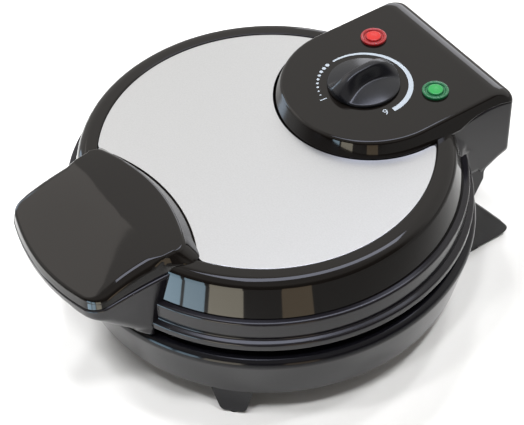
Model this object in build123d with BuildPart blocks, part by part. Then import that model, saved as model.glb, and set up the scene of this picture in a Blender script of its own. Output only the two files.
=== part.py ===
"""Walnut cookie maker: a round countertop cooker with a hinged lid and 24 half-nut moulds.

Millimetres, +Z up. The hinge is towards +Y and the handle towards -Y. Every piece is drawn
about the axis of the round body, with the floor at z = 0, and is shifted along Y as it is
written, so that the origin is the middle of the whole footprint.
"""
from math import cos, radians, sin, sqrt
import os

from build123d import *

os.makedirs("parts", exist_ok=True)

# Whole object
rim_radius = 120.5          # widest part of the round base
hinge_stand_off = 1.5       # base's rim to the hinge axis
tower_depth = 15.0          # hinge axis to the rear face of the hinge tower
handle_overhang = 27.0      # base's rim to the tip of the handle
foot_height = 20.0          # floor to the base's lower edge
wall = 2.5                  # thickness of the moulded shells
fit_gap = 0.4               # clearance where one piece drops into another
seat_gap = 0.05             # clearance under a piece that rests on another

hinge_y = rim_radius + hinge_stand_off
rear_reach = hinge_y + tower_depth
handle_reach = rim_radius + handle_overhang

# Base shell
base_low_radius = rim_radius - 6.5
rim_z = 49.0
base_top_radius = rim_radius - 5.0
base_top_z = 54.5
collar_depth = 4.5          # height of the base's collar round the lower plate

# Mould plates
parting_z = 57.0            # top face of the lower plate
parting_gap = 0.4           # gap between the closed plates
plate_radius = rim_radius - 10.1
plate_web = 3.6
plate_rim_width = 3.0
lower_rim_height = 11.0
upper_rim_height = 10.6
mould_counts = (4, 8, 12)   # moulds in each ring, from the middle outwards
mould_edge = 26.4           # plate's edge to the middles of the outer moulds
mould_pitch = (plate_radius - mould_edge) / 2.8     # radius from one ring to the next
cup_width = mould_pitch - 2.0                       # mouth of one half-nut cavity
cup_length = cup_width + 6.0
cup_wall = 2.5
shell_gap = 3.0             # thickness of the baked half shell

# Heaters
heater_radius = plate_radius - mould_edge - mould_pitch / 2
heater_tube = 6.5
heater_gap_angle = 30.0
cold_pin = 4.0
cold_pin_length = 7.0
upper_pin_length = 5.2
rib_width = 5.0
lower_heater_z = 44.0
upper_heater_z = 67.3

# Base inner fittings
cover_boss = 12.0
cover_boss_radius = base_low_radius - cover_boss / 2
cover_boss_height = 6.0
cover_screw_length = 7.0
vent_radius = base_low_radius - 52.0
vent_count = 16
vent_length = 24.0
vent_width = 3.5
gland_z = 35.0
gland_diameter = 12.0
gland_flange = 16.0
gland_bore = 7.0
gland_rear_y = rim_radius + 0.5

terminal_y = base_low_radius - 30.0
terminal_length = 30.0
terminal_width = 14.0
terminal_height = 8.0
terminal_well = 5.0

# Posts, screws and reflectors
lug_thread = 6.0
post_radius = plate_radius - 7.4
post_angle = 45.0
post_diameter = 9.0
post_shoulder = 10.5
lug_diameter = 9.0
screw_diameter = 4.0
screw_head = 7.5
screw_head_height = 2.6
reflector_thickness = 0.8
reflector_rim = 5.0
lower_reflector_z = 31.0
upper_reflector_z = 73.0
reflector_radius = plate_radius - 0.9

# Lid
lip_z = 61.0
bead_radius = rim_radius - 2.0
bead_low_z = 62.2
bead_top_z = 66.0
flange_radius = rim_radius - 5.2
flange_chamfer = 2.0
bead_chamfer = 1.0
flange_foot_z = 67.2
ledge_z = 79.5
wall_foot_radius = flange_radius - 3.4
wall_top_radius = wall_foot_radius - 6.1
ring_z = 101.5
shoulder_fillet = 6.0
recess_radius = wall_top_radius - 10.3
recess_depth = 1.5
ledge_inner_radius = wall_foot_radius - 14.9

# Steel top plate
steel_thickness = 0.9
groove = 0.5
steel_corner = 3.5

# Control panel
panel_z = 110.3
panel_low_half_width = 55.0
panel_top_half_width = 51.0
panel_arc_y = rear_reach - 65.1
panel_edge_fillet = 1.5
panel_rear_round = 15.0      # the rear edge's soft round, seen from the side, from the rear
panel_rear_drop = 9.3        # and from the top
panel_corner = 6.0
panel_skirt_y = rear_reach - 41.0   # where the arched skirt starts
panel_skirt_rise = 4.2       # how far the skirt's arch rises over the steel plate's level
seam_gap = 0.3               # gap at the seams between the lid's cover and its housing
lid_boss = 7.0
lid_screw_length = 10.5

# Handle
handle_inner_arc_y = -handle_reach - 22.5
handle_arc_low = 109.0       # radius of the inner edge's arc at the tip skirt's height
handle_arc_top = 100.0       # the same arc at the top
handle_half_root = 51.3
handle_half_tip = 47.0
handle_root_y = handle_inner_arc_y + handle_arc_low + 6.0
handle_tip_radius = 135.0
handle_corner = 9.0
handle_inner_corner = 8.0
handle_top_z = 109.3
handle_bend_y = -handle_reach + 50.5
handle_mid_y = -handle_reach + 23.5
handle_mid_top_z = 103.8
handle_mid_skirt_z = 94.3
handle_tip_top_z = 94.0
handle_skirt_z = 97.0
handle_tip_skirt_z = 89.0
handle_tip_low_z = 85.0
rim_clearance = 2.5         # between the base's rim and the wedge that hangs over it
skirt_reach = rim_radius
skirt_z = base_top_z + rim_clearance
handle_draft = 3.0          # how far the handle's top edge stands in from its skirt

# Hinge
hinge_z = 60.0
ear_radius = 6.0
ear_inner_x = 40.0
ear_outer_x = 49.0
lug_inner_x = 29.0
lug_outer_x = 38.6
pin_diameter = 5.0
pin_clearance = 0.05
bush_wall = 1.0
lid_stop = 101.5            # degrees, where the tower's lower edge rests on the ears' heels
bracket_low_z = 27.0
bracket_heel_z = 42.0
bracket_top_z = 47.5
ear_root_y = base_low_radius - 10.0
ear_front_y = hinge_y - 11.5
pin_head = 8.0
pin_head_height = 1.5
lug_root_y = flange_radius - 7.3
lug_low_z = 70.0
lug_top_z = 84.0
tower_half_width = 53.5
tower_corner = 4.0
tower_low_z = 63.5
tower_step_y = hinge_y + 4.0
tower_step_z = 60.5
tower_front_low_z = 54.0
tower_front_low_y = hinge_y - 11.0
tower_front_z = 57.5
tower_front_y = hinge_y - 14.0

# Knob and thermostat
knob_y = panel_arc_y - 4.1
knob_diameter = 42.0
knob_height = 13.0
knob_skirt = 5.5
knob_float = 0.5
grip_width = 5.0
grip_angle = 108.0
grip_reach = 19.5
scoop_radius = 14.0
knob_wall = 2.5
hub_radius = 7.0
spring_wire = 0.8
spring_height = 2.0
shaft_diameter = 6.0
shaft_hole = 8.0
shaft_engagement = 9.0
shaft_low_z = 81.0
bush_diameter = 10.0
bush_height = 7.0
thermostat_plate_z = 90.0
thermostat_body_height = 11.0
thermostat_body_length = 24.0
bracket_width = 16.0
bracket_half_span = 14.0
bracket_foot = 8.0
nut_flats = 14.0
nut_height = 3.0
sheet = 1.2

# Lamps
lamp_x = 29.3
lamp_y = panel_arc_y + 25.0
lamp_diameter = 15.5
lamp_stem = 12.0
lamp_dome = 1.4
lamp_flange = 1.0
lamp_stem_length = 6.0
neon_diameter = 6.0
neon_length = 12.0
fuse_x = 29.0 - heater_radius
fuse_diameter = 4.0
fuse_length = 12.0

# Feet
front_foot_angle = 45.0
front_foot_width = 23.6
front_foot_tip = 14.0
front_foot_corner = 3.0
front_foot_depth = 6.5
front_pad = 6.0
pad_thickness = 1.5
leg_outer_x = 63.0
leg_thickness = 6.0
leg_reach_y = rim_radius + 15.7     # where the leg's two long edges would meet
leg_tip_round = 6.0
leg_root_y = base_low_radius - 16.0
leg_shoulder_y = rim_radius - 16.5
leg_top_z = 43.0
leg_pad_length = 12.0

shift_y = (handle_reach - rear_reach) / 2
steel_z = ring_z - recess_depth
upper_face_z = parting_z + parting_gap
wall_slope = (wall_foot_radius - wall_top_radius) / (ring_z - ledge_z)
edge_slope = (tower_low_z - tower_step_z) / (rear_reach - tower_step_y)
edge_rise = tower_low_z - edge_slope * wall - hinge_z
bracket_rear_y = (hinge_y + (tower_depth - wall) * cos(radians(lid_stop))
                  + edge_rise * sin(radians(lid_stop)))


def keep(part, name):
    """Moves a finished piece to the shared origin, labels it and writes it."""
    placed = part.moved(Location((0, shift_y, 0)))
    placed.label = name
    export_step(placed, f"parts/{name}.step")
    print(name, "solids", len(placed.solids()), "volume", round(placed.volume, 1))


def lid_wall_radius(z):
    """Outer radius of the lid's steep wall at a height."""
    return wall_foot_radius - wall_slope * (z - ledge_z)


def base_wall_radius(z):
    """Outer radius of the base's tapering wall at a height."""
    share = (z - foot_height) / (rim_z - foot_height)
    return base_low_radius + share * (rim_radius - base_low_radius)


def panel_outline(half_width, rear_inset):
    """Panel seen from above: a round front end that runs into two straight sides."""
    rear_y = rear_reach - rear_inset
    with BuildSketch() as outline:
        with BuildLine():
            Polyline((half_width, panel_arc_y), (half_width, rear_y),
                     (-half_width, rear_y), (-half_width, panel_arc_y))
            ThreePointArc((-half_width, panel_arc_y), (0, panel_arc_y - half_width),
                          (half_width, panel_arc_y))
        make_face()
    return outline.sketch


def panel_body(inset):
    """Tapering block of the panel, each side moved in by the inset, with a soft rear edge."""
    top = panel_z - inset
    rear_y = rear_reach - inset
    round_y = rear_y - panel_rear_round
    with BuildPart() as body:
        with BuildSketch(Plane.XY.offset(steel_z)):
            add(panel_outline(panel_low_half_width - inset, inset))
        with BuildSketch(Plane.XY.offset(top)):
            add(panel_outline(panel_top_half_width - inset, inset))
        loft(ruled=True)
        upright = edges().filter_by(lambda e: e.center().Y > rear_y - 1 and abs(e.tangent_at(0).Z) > 0.5)
        fillet(upright, radius=panel_corner - inset)
        with BuildSketch(Plane.YZ):
            with BuildLine():
                Polyline((rear_y, panel_z - panel_rear_drop), (rear_y, 0), (0, 0), (0, top),
                         (round_y, top))
                EllipticalCenterArc((round_y, panel_z - panel_rear_drop), panel_rear_round,
                                    panel_rear_drop - inset, arc_size=90)
            make_face()
        extrude(amount=panel_low_half_width, both=True, mode=Mode.INTERSECT)
    return body.part


def handle_outline(inset):
    """Handle seen from above: two nearly straight sides and a shallow arc at the tip."""
    root = handle_half_root - inset
    tip = handle_half_tip - inset
    reach = handle_reach - inset
    drop = handle_tip_radius - sqrt(handle_tip_radius**2 - tip**2)
    with BuildSketch() as outline:
        with BuildLine():
            Polyline((-tip, drop - reach), (-root, handle_root_y), (root, handle_root_y),
                     (tip, drop - reach))
            ThreePointArc((tip, drop - reach), (0, -reach), (-tip, drop - reach))
        make_face()
        fillet(vertices().sort_by(Axis.Y)[:2], radius=handle_corner - inset)
    return outline.sketch


def handle_seam(drop):
    """Draws the curve in the YZ plane where the handle's top meets its underside."""
    Spline((-handle_reach - 1, handle_tip_skirt_z - drop),
           (handle_mid_y, handle_mid_skirt_z - drop), (handle_bend_y, handle_skirt_z - drop),
           (handle_root_y, handle_skirt_z - drop), tangents=((0.96, 0.28), (1, 0)))


def handle_top_body(inset):
    """Glossy top of the handle: side profile, tapering outline and the inner edge's arc."""
    end_y = -handle_reach - 1
    with BuildPart() as body:
        with BuildSketch(Plane.YZ):
            with BuildLine():
                handle_seam(0)
                Line((handle_root_y, handle_skirt_z), (handle_root_y, handle_top_z - inset))
                Line((handle_root_y, handle_top_z - inset),
                     (handle_bend_y, handle_top_z - inset))
                Spline((handle_bend_y, handle_top_z - inset),
                       (handle_mid_y, handle_mid_top_z - inset),
                       (end_y, handle_tip_top_z - inset), tangents=((-1, 0), (-0.9, -0.42)))
                Line((end_y, handle_tip_top_z - inset), (end_y, handle_tip_skirt_z))
            make_face()
        extrude(amount=handle_half_root + wall, both=True)
        with BuildSketch(Plane.XY.offset(handle_tip_skirt_z)):
            add(handle_outline(inset))
        with BuildSketch(Plane.XY.offset(handle_top_z + fit_gap)):
            add(handle_outline(inset + handle_draft))
        loft(ruled=True, mode=Mode.INTERSECT)
        with BuildSketch(Plane.XY.offset(handle_tip_skirt_z)):
            with Locations((0, handle_inner_arc_y)):
                Circle(handle_arc_low - inset)
        with BuildSketch(Plane.XY.offset(handle_top_z + fit_gap)):
            with Locations((0, handle_inner_arc_y)):
                Circle(handle_arc_top - inset)
        loft(ruled=True, mode=Mode.INTERSECT)
        fillet(edges().filter_by(lambda e: handle_bend_y < e.center().Y
                                 and abs(e.tangent_at(0.5).Z) > 0.5),
               radius=handle_inner_corner - inset)
    return body.part


def handle_under_body(inset, low_z, drop):
    """Wedge under the handle: its front is a cone that leans out from the lid's lip."""
    lean = (handle_reach - skirt_reach) / (handle_tip_low_z - skirt_z)
    cone_low = skirt_reach + lean * (low_z - skirt_z) - inset * sqrt(1 + lean**2)
    cone_top = cone_low + lean * (handle_top_z - low_z)
    with BuildPart() as body:
        with BuildSketch(Plane.XY.offset(low_z)):
            add(handle_outline(inset))
        extrude(amount=handle_skirt_z - low_z)
        with BuildSketch(Plane.XZ):
            with BuildLine():
                Polyline((0, low_z), (cone_low, low_z), (cone_top, handle_top_z),
                         (0, handle_top_z), close=True)
            make_face()
        revolve(axis=Axis.Z, mode=Mode.INTERSECT)
        with BuildSketch(Plane.YZ):
            with BuildLine():
                handle_seam(drop)
                Polyline((handle_root_y, handle_skirt_z - drop), (handle_root_y, handle_top_z),
                         (-handle_reach - 1, handle_top_z),
                         (-handle_reach - 1, handle_tip_skirt_z - drop))
            make_face()
        extrude(amount=handle_half_root + wall, both=True, mode=Mode.SUBTRACT)
    return body.part


def half_shell(length, width):
    """Lower half of a nut: half an ellipse turned about its long axis, flat side at z = 0."""
    with BuildPart() as nut:
        with BuildSketch(Plane.XY):
            Ellipse(length / 2, width / 2)
            with Locations((0, -width / 2)):
                Rectangle(length, width, mode=Mode.SUBTRACT)
        revolve(axis=Axis.X, revolution_arc=-180)
    return nut.part


def mould_places(z):
    """Place and turn of each half-nut mould, its long side across the plate's radius."""
    places = []
    radius = plate_radius - mould_edge - mould_pitch * (len(mould_counts) - 1)
    for count in mould_counts:
        for k in range(count):
            angle = 360 * (k + 0.5) / count
            x = radius * cos(radians(angle))
            y = radius * sin(radians(angle))
            places.append(Location((x, y, z), (0, 0, angle + 90)))
        radius += mould_pitch
    return places


def heater(z, pin_step):
    """Bent tubular heater: a ring with a gap at the hinge side and two cold pins."""
    first = 90 + heater_gap_angle / 2
    start = Plane(origin=(0, 0, z), x_dir=(cos(radians(first)), sin(radians(first)), 0),
                  z_dir=(sin(radians(first)), -cos(radians(first)), 0))
    with BuildPart() as tube:
        with BuildSketch(start):
            with Locations((heater_radius, 0)):
                Circle(heater_tube / 2)
        revolve(axis=Axis.Z, revolution_arc=360 - heater_gap_angle)
        with PolarLocations(heater_radius, 2, start_angle=90 - heater_gap_angle / 2,
                            angular_range=2 * heater_gap_angle):
            with Locations((0, 0, z)):
                Sphere(heater_tube / 2)
            with Locations((0, 0, z + pin_step / 2)):
                Cylinder(cold_pin / 2, abs(pin_step))
    return tube.part


def reflector(z, rim_up):
    """Thin steel pan with a turned rim and four holes that slip over the posts."""
    rim_low = z if rim_up else z - reflector_rim + reflector_thickness
    with BuildPart() as pan:
        with BuildSketch(Plane.XY.offset(z)):
            Circle(reflector_radius)
            with PolarLocations(post_radius, 4, start_angle=post_angle):
                Circle(post_diameter / 2 + fit_gap / 2, mode=Mode.SUBTRACT)
        extrude(amount=reflector_thickness)
        with BuildSketch(Plane.XY.offset(rim_low)):
            Circle(reflector_radius)
            Circle(reflector_radius - reflector_thickness, mode=Mode.SUBTRACT)
        extrude(amount=reflector_rim)
    return pan.part


def lid_form(gap):
    """Round body of the lid, used to cut what is built against it."""
    with BuildPart() as form:
        with BuildSketch(Plane.XZ):
            with BuildLine():
                Polyline((0, 0), (flange_radius - wall, 0), (flange_radius - wall, ledge_z - wall),
                         (wall_foot_radius + gap, ledge_z - wall),
                         (wall_foot_radius + gap, ledge_z), (wall_top_radius + gap, ring_z + gap),
                         (0, ring_z + gap), close=True)
            make_face()
        revolve(axis=Axis.Z)
    return form.part


def below_skirt(drop):
    """Space of the hinge tower: all that lies under the arched edge of the panel's skirt."""
    top_z = steel_z - drop
    with BuildPart() as space:
        with BuildSketch(Plane.YZ):
            with BuildLine():
                Polyline((panel_skirt_y, top_z), (panel_skirt_y, 0), (rear_reach + wall, 0),
                         (rear_reach + wall, top_z))
                ThreePointArc((panel_skirt_y, top_z),
                              ((panel_skirt_y + rear_reach) / 2, top_z + panel_skirt_rise),
                              (rear_reach + wall, top_z))
            make_face()
        extrude(amount=panel_low_half_width + wall, both=True)
        add(lid_form(drop), mode=Mode.SUBTRACT)
    return space.part


def handle_wedge():
    """Hollow wedge that joins the handle to the flange and hangs clear of the base's rim."""
    with BuildPart() as wedge:
        add(handle_under_body(0, skirt_z, seam_gap))
        add(handle_under_body(wall, lip_z + wall, 0), mode=Mode.SUBTRACT)
        add(lid_form(seam_gap), mode=Mode.SUBTRACT)
        with Locations((0, 0, lip_z)):
            Cylinder(bead_radius, lip_z,
                     align=(Align.CENTER, Align.CENTER, Align.MAX), mode=Mode.SUBTRACT)
    return wedge.part


def hinge_tower():
    """Square housing behind the flange, open below, with the two lugs that hold the pins."""
    with BuildPart() as tower:
        with BuildSketch(Plane.YZ):
            with BuildLine():
                Polyline((rear_reach, handle_top_z), (rear_reach, tower_low_z),
                         (tower_step_y, tower_step_z), (tower_front_low_y, tower_front_low_z),
                         (tower_front_y, tower_front_z), (panel_skirt_y, tower_front_z),
                         (panel_skirt_y, handle_top_z), close=True)
            make_face()
        extrude(amount=tower_half_width, both=True)
        fillet(edges().filter_by(Axis.Z).group_by(Axis.Y)[-1], radius=tower_corner)
        with BuildSketch(Plane.YZ):
            with Locations((rear_reach - wall, 0)):
                Rectangle(rear_reach, 2 * ring_z + wall, align=(Align.MAX, Align.CENTER))
        extrude(amount=tower_half_width - wall, both=True, mode=Mode.SUBTRACT)
        for side in (-1, 1):
            with BuildSketch(Plane.YZ.offset(side * (lug_inner_x + lug_outer_x) / 2)):
                with BuildLine():
                    Polyline((lug_root_y, lug_low_z), (lug_root_y, lug_top_z),
                             (rear_reach - wall, lug_top_z), (rear_reach - wall, lug_low_z),
                             (hinge_y + ear_radius, hinge_z), (hinge_y - ear_radius, hinge_z),
                             close=True)
                make_face()
                with Locations((hinge_y, hinge_z)):
                    Circle(ear_radius)
                    Circle(pin_diameter / 2 + pin_clearance, mode=Mode.SUBTRACT)
            extrude(amount=(lug_outer_x - lug_inner_x) / 2, both=True)
        add(below_skirt(seam_gap), mode=Mode.INTERSECT)
    return tower.part


# Outer form of the base, used to cut what is built against it
with BuildPart() as base_form:
    with BuildSketch(Plane.XZ):
        with BuildLine():
            Polyline((0, 0), (base_wall_radius(0), 0), (rim_radius, rim_z),
                     (rim_radius, base_top_z), (0, base_top_z), close=True)
        make_face()
    revolve(axis=Axis.Z)

# Base shell: the tapering wall with its round rim, a collar for the mould plate and two ears
with BuildPart() as base_shell:
    with BuildSketch(Plane.XZ):
        with BuildLine():
            inner_foot = base_low_radius - wall
            inner_top = base_wall_radius(base_top_z - collar_depth) - wall
            collar = plate_radius + fit_gap
            Polyline((collar + wall, base_top_z - wall), (collar + wall, base_top_z - collar_depth),
                     (collar, base_top_z - collar_depth), (collar, base_top_z),
                     (base_top_radius, base_top_z))
            ThreePointArc((base_top_radius, base_top_z),
                          (rim_radius - 1.3, base_top_z - 1.9), (rim_radius, rim_z))
            Polyline((rim_radius, rim_z), (base_low_radius, foot_height),
                     (inner_foot, foot_height), (inner_top, base_top_z - collar_depth),
                     (base_top_radius, base_top_z - wall), (collar + wall, base_top_z - wall))
        make_face()
    revolve(axis=Axis.Z)
    with PolarLocations(cover_boss_radius, 4):
        with Locations((0, 0, foot_height + wall)):
            Cylinder(cover_boss / 2, cover_boss_height,
                     align=(Align.CENTER, Align.CENTER, Align.MIN))
    with PolarLocations(cover_boss_radius, 4):
        with Locations((0, 0, foot_height + wall)):
            Cylinder(screw_diameter / 2 + pin_clearance, cover_screw_length - wall + fit_gap,
                     align=(Align.CENTER, Align.CENTER, Align.MIN), mode=Mode.SUBTRACT)
    half_cos = ear_radius * cos(radians(45))
    for side in (-1, 1):
        with BuildSketch(Plane.YZ.offset(side * (ear_inner_x + ear_outer_x) / 2)):
            with BuildLine():
                Polyline((ear_root_y, bracket_low_z), (base_low_radius, bracket_low_z),
                         (bracket_rear_y, bracket_heel_z), (bracket_rear_y, bracket_top_z),
                         (hinge_y + half_cos, hinge_z - half_cos),
                         (hinge_y - half_cos, hinge_z + half_cos),
                         (ear_front_y, base_top_z - seat_gap), (ear_root_y, base_top_z - seat_gap),
                         close=True)
            make_face()
            with Locations((hinge_y, hinge_z)):
                Circle(ear_radius)
        extrude(amount=(ear_outer_x - ear_inner_x) / 2, both=True)
    with Locations(Location((0, hinge_y, hinge_z), (0, 90, 0))):
        Cylinder(pin_diameter / 2 + bush_wall + 2 * pin_clearance, 2 * ear_outer_x + wall,
                 mode=Mode.SUBTRACT)
    with Locations(Location((0, 0, gland_z), (90, 0, 0))):
        Cylinder(gland_diameter / 2 + pin_clearance, rim_radius + wall,
                 align=(Align.CENTER, Align.CENTER, Align.MAX), mode=Mode.SUBTRACT)
keep(base_shell.part, "base_shell")

# Cord gland in the base's rear wall: a flanged bush, cut to the wall's taper
with BuildPart() as cord_gland:
    with Locations(Location((0, gland_rear_y, gland_z), (90, 0, 0))):
        Cylinder(gland_flange / 2, gland_rear_y - base_low_radius,
                 align=(Align.CENTER, Align.CENTER, Align.MIN))
    add(base_form.part, mode=Mode.SUBTRACT)
    with Locations(Location((0, gland_rear_y, gland_z), (90, 0, 0))):
        Cylinder(gland_diameter / 2, gland_rear_y - base_low_radius + wall,
                 align=(Align.CENTER, Align.CENTER, Align.MIN))
        Cylinder(gland_bore / 2, rim_radius, mode=Mode.SUBTRACT)
keep(cord_gland.part, "cord_gland")

# Bottom cover: a disc with a ring of vent slots
with BuildPart() as bottom_cover:
    with BuildSketch(Plane.XY.offset(foot_height)):
        Circle(base_low_radius - wall - fit_gap)
        with PolarLocations(vent_radius, vent_count):
            SlotOverall(vent_length, vent_width, mode=Mode.SUBTRACT)
        with PolarLocations(cover_boss_radius, 4):
            Circle(screw_diameter / 2 + pin_clearance, mode=Mode.SUBTRACT)
        with PolarLocations(post_radius, 4, start_angle=post_angle):
            Circle(screw_diameter / 2 + pin_clearance, mode=Mode.SUBTRACT)
    extrude(amount=wall - seat_gap)
keep(bottom_cover.part, "bottom_cover")


def screws(radius, first, head_z, length, up):
    """Four screws on a circle: the head's seat is at head_z and the shank points up or down."""
    way = Align.MIN if up else Align.MAX
    back = Align.MAX if up else Align.MIN
    with BuildPart() as group:
        with PolarLocations(radius, 4, start_angle=first):
            with Locations((0, 0, head_z)):
                Cylinder(screw_diameter / 2, length, align=(Align.CENTER, Align.CENTER, way))
                Cylinder(screw_head / 2, screw_head_height,
                         align=(Align.CENTER, Align.CENTER, back))
    return group.part


keep(screws(cover_boss_radius, 0, foot_height, cover_screw_length, True),
     "bottom_cover_screws")
keep(screws(post_radius, post_angle, foot_height,
            parting_z - lower_rim_height - foot_height + lug_thread, True), "lower_plate_screws")


def posts(low_z, shoulder_z, top_z, shoulder_low):
    """Four stepped tubes that carry a mould plate and its reflector."""
    with BuildPart() as group:
        with PolarLocations(post_radius, 4, start_angle=post_angle):
            with Locations((0, 0, low_z)):
                Cylinder((post_shoulder if shoulder_low else post_diameter) / 2,
                         shoulder_z - low_z, align=(Align.CENTER, Align.CENTER, Align.MIN))
            with Locations((0, 0, shoulder_z)):
                Cylinder(post_diameter / 2, top_z - shoulder_z,
                         align=(Align.CENTER, Align.CENTER, Align.MIN))
            with Locations((0, 0, low_z)):
                Cylinder(screw_diameter / 2 + pin_clearance, top_z - low_z,
                         align=(Align.CENTER, Align.CENTER, Align.MIN), mode=Mode.SUBTRACT)
    return group.part


keep(posts(foot_height + wall, lower_reflector_z - seat_gap,
           parting_z - lower_rim_height - seat_gap, True), "lower_plate_posts")
keep(posts(upper_face_z + upper_rim_height + seat_gap, upper_reflector_z - seat_gap,
           ledge_z - wall - seat_gap, True), "upper_plate_posts")
keep(screws(post_radius, post_angle, ledge_z,
            ledge_z - upper_face_z - upper_rim_height + lug_thread, False), "upper_plate_screws")

# Lower mould plate: web, rim, heater rib, lugs and the half-nut cups
nut_outer = half_shell(cup_length + 2 * cup_wall, cup_width + 2 * cup_wall)
nut_inner = half_shell(cup_length, cup_width)
nut_core = half_shell(cup_length - 2 * shell_gap, cup_width - 2 * shell_gap)


def mould_disc(face_z, way, rim_height, heater_z):
    """Round plate with a rim, the heater's rib and four screw lugs on its back."""
    back_z = face_z + way * plate_web
    rib_z = heater_z - way * (heater_tube / 2 + seat_gap)
    rim_end = face_z + way * rim_height
    with BuildPart() as disc:
        with BuildSketch(Plane.XZ):
            with BuildLine():
                Polyline((0, face_z), (plate_radius, face_z), (plate_radius, rim_end),
                         (plate_radius - plate_rim_width, rim_end),
                         (plate_radius - plate_rim_width, back_z),
                         (heater_radius + rib_width / 2, back_z),
                         (heater_radius + rib_width / 2, rib_z),
                         (heater_radius - rib_width / 2, rib_z),
                         (heater_radius - rib_width / 2, back_z), (0, back_z), close=True)
            make_face()
        revolve(axis=Axis.Z)
        with PolarLocations(post_radius, 4, start_angle=post_angle):
            with Locations((0, 0, (face_z + way * wall / 2 + rim_end) / 2)):
                Cylinder(lug_diameter / 2, abs(rim_end - face_z) - wall / 2)
    return disc.part


def lug_holes(rim_end, way):
    """Blind holes for the plate's four screws."""
    with BuildPart() as holes:
        with PolarLocations(post_radius, 4, start_angle=post_angle):
            with Locations((0, 0, rim_end - way * (lug_thread + wall / 2) / 2)):
                Cylinder(screw_diameter / 2 + pin_clearance, lug_thread + wall / 2)
    return holes.part


lower_disc = mould_disc(parting_z, -1, lower_rim_height, lower_heater_z)
with BuildPart() as lower_mould_plate:
    add(lower_disc)
    with Locations(*mould_places(parting_z)):
        add(nut_outer)
    with Locations(*mould_places(parting_z)):
        add(nut_inner, mode=Mode.SUBTRACT)
    add(lug_holes(parting_z - lower_rim_height, -1), mode=Mode.SUBTRACT)
keep(lower_mould_plate.part, "lower_mould_plate")

upper_disc = mould_disc(upper_face_z, 1, upper_rim_height, upper_heater_z)
with BuildPart() as upper_mould_plate:
    add(upper_disc)
    with Locations(*mould_places(upper_face_z + seat_gap)):
        add(nut_core)
    add(lug_holes(upper_face_z + upper_rim_height, 1), mode=Mode.SUBTRACT)
keep(upper_mould_plate.part, "upper_mould_plate")

keep(heater(lower_heater_z, -cold_pin_length), "lower_heater")
keep(heater(upper_heater_z, upper_pin_length), "upper_heater")

# Lower feet and legs of the base
with BuildPart() as front_feet:
    for turn in (-front_foot_angle, front_foot_angle - 180):
        outward = (cos(radians(turn)), sin(radians(turn)), 0)
        across = (-outward[1], outward[0], 0)
        face = Plane(origin=[(base_low_radius - fit_gap) * c for c in outward],
                     x_dir=across, z_dir=outward)
        tip = front_foot_tip / 2
        with BuildSketch(face):
            with BuildLine():
                Polyline((-tip, pad_thickness), (tip, pad_thickness),
                         (front_foot_width / 2, foot_height),
                         (-front_foot_width / 2, foot_height), close=True)
            make_face()
            fillet(vertices().group_by(Axis.Y)[0], radius=front_foot_corner)
        extrude(amount=-front_foot_depth)
keep(front_feet.part, "front_feet")

with BuildPart() as rear_legs:
    for side in (-1, 1):
        with BuildSketch(Plane.YZ.offset(side * (leg_outer_x - leg_thickness / 2))):
            with BuildLine():
                Polyline((leg_root_y, pad_thickness), (leg_root_y, leg_top_z),
                         (leg_shoulder_y, leg_top_z), (leg_reach_y, pad_thickness), close=True)
            make_face()
            fillet(vertices().group_by(Axis.X)[-1], radius=leg_tip_round)
        extrude(amount=leg_thickness / 2, both=True)
    add(base_form.part, mode=Mode.SUBTRACT)
keep(rear_legs.part, "rear_legs")

with BuildPart() as foot_pads:
    for turn in (-front_foot_angle, front_foot_angle - 180):
        pad_radius = base_low_radius - fit_gap - front_foot_depth / 2
        with Locations((pad_radius * cos(radians(turn)), pad_radius * sin(radians(turn)), 0)):
            Cylinder(front_pad / 2, pad_thickness - seat_gap,
                     align=(Align.CENTER, Align.CENTER, Align.MIN))
    for side in (-1, 1):
        with Locations((side * (leg_outer_x - leg_thickness / 2),
                        leg_root_y + leg_pad_length / 2, 0)):
            Box(leg_thickness - 2 * fit_gap, leg_pad_length, pad_thickness - seat_gap,
                align=(Align.CENTER, Align.CENTER, Align.MIN))
keep(foot_pads.part, "foot_pads")

# Terminal block on the bottom cover, with three screw wells
with BuildPart() as terminal_block:
    with BuildSketch(Plane.XY.offset(foot_height + wall)):
        with Locations((0, terminal_y)):
            Rectangle(terminal_length, terminal_width)
    extrude(amount=terminal_height)
    with BuildSketch(Plane.XY.offset(foot_height + wall + terminal_height)):
        with Locations((0, terminal_y)):
            with GridLocations(terminal_length / 3, 1, 3, 1):
                Circle(terminal_well / 2)
    extrude(amount=-terminal_height / 2, mode=Mode.SUBTRACT)
keep(terminal_block.part, "terminal_block")

# Hinge: two bushes in the base's ears and two headed pins that run into the lid's lugs
with BuildPart() as hinge_bushes:
    for side in (-1, 1):
        with Locations(Location((side * (ear_inner_x + ear_outer_x) / 2, hinge_y, hinge_z),
                                (0, 90, 0))):
            Cylinder(pin_diameter / 2 + pin_clearance + bush_wall, ear_outer_x - ear_inner_x)
            Cylinder(pin_diameter / 2 + pin_clearance, ear_outer_x - ear_inner_x,
                     mode=Mode.SUBTRACT)
keep(hinge_bushes.part, "hinge_bushes")

with BuildPart() as hinge_pins:
    for side in (-1, 1):
        with Locations(Location((side * (ear_outer_x + lug_inner_x) / 2, hinge_y, hinge_z),
                                (0, 90, 0))):
            Cylinder(pin_diameter / 2, ear_outer_x - lug_inner_x)
        with Locations(Location((side * (ear_outer_x + pin_head_height / 2), hinge_y, hinge_z),
                                (0, 90, 0))):
            Cylinder(pin_head / 2, pin_head_height)
keep(hinge_pins.part, "hinge_pins")

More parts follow.
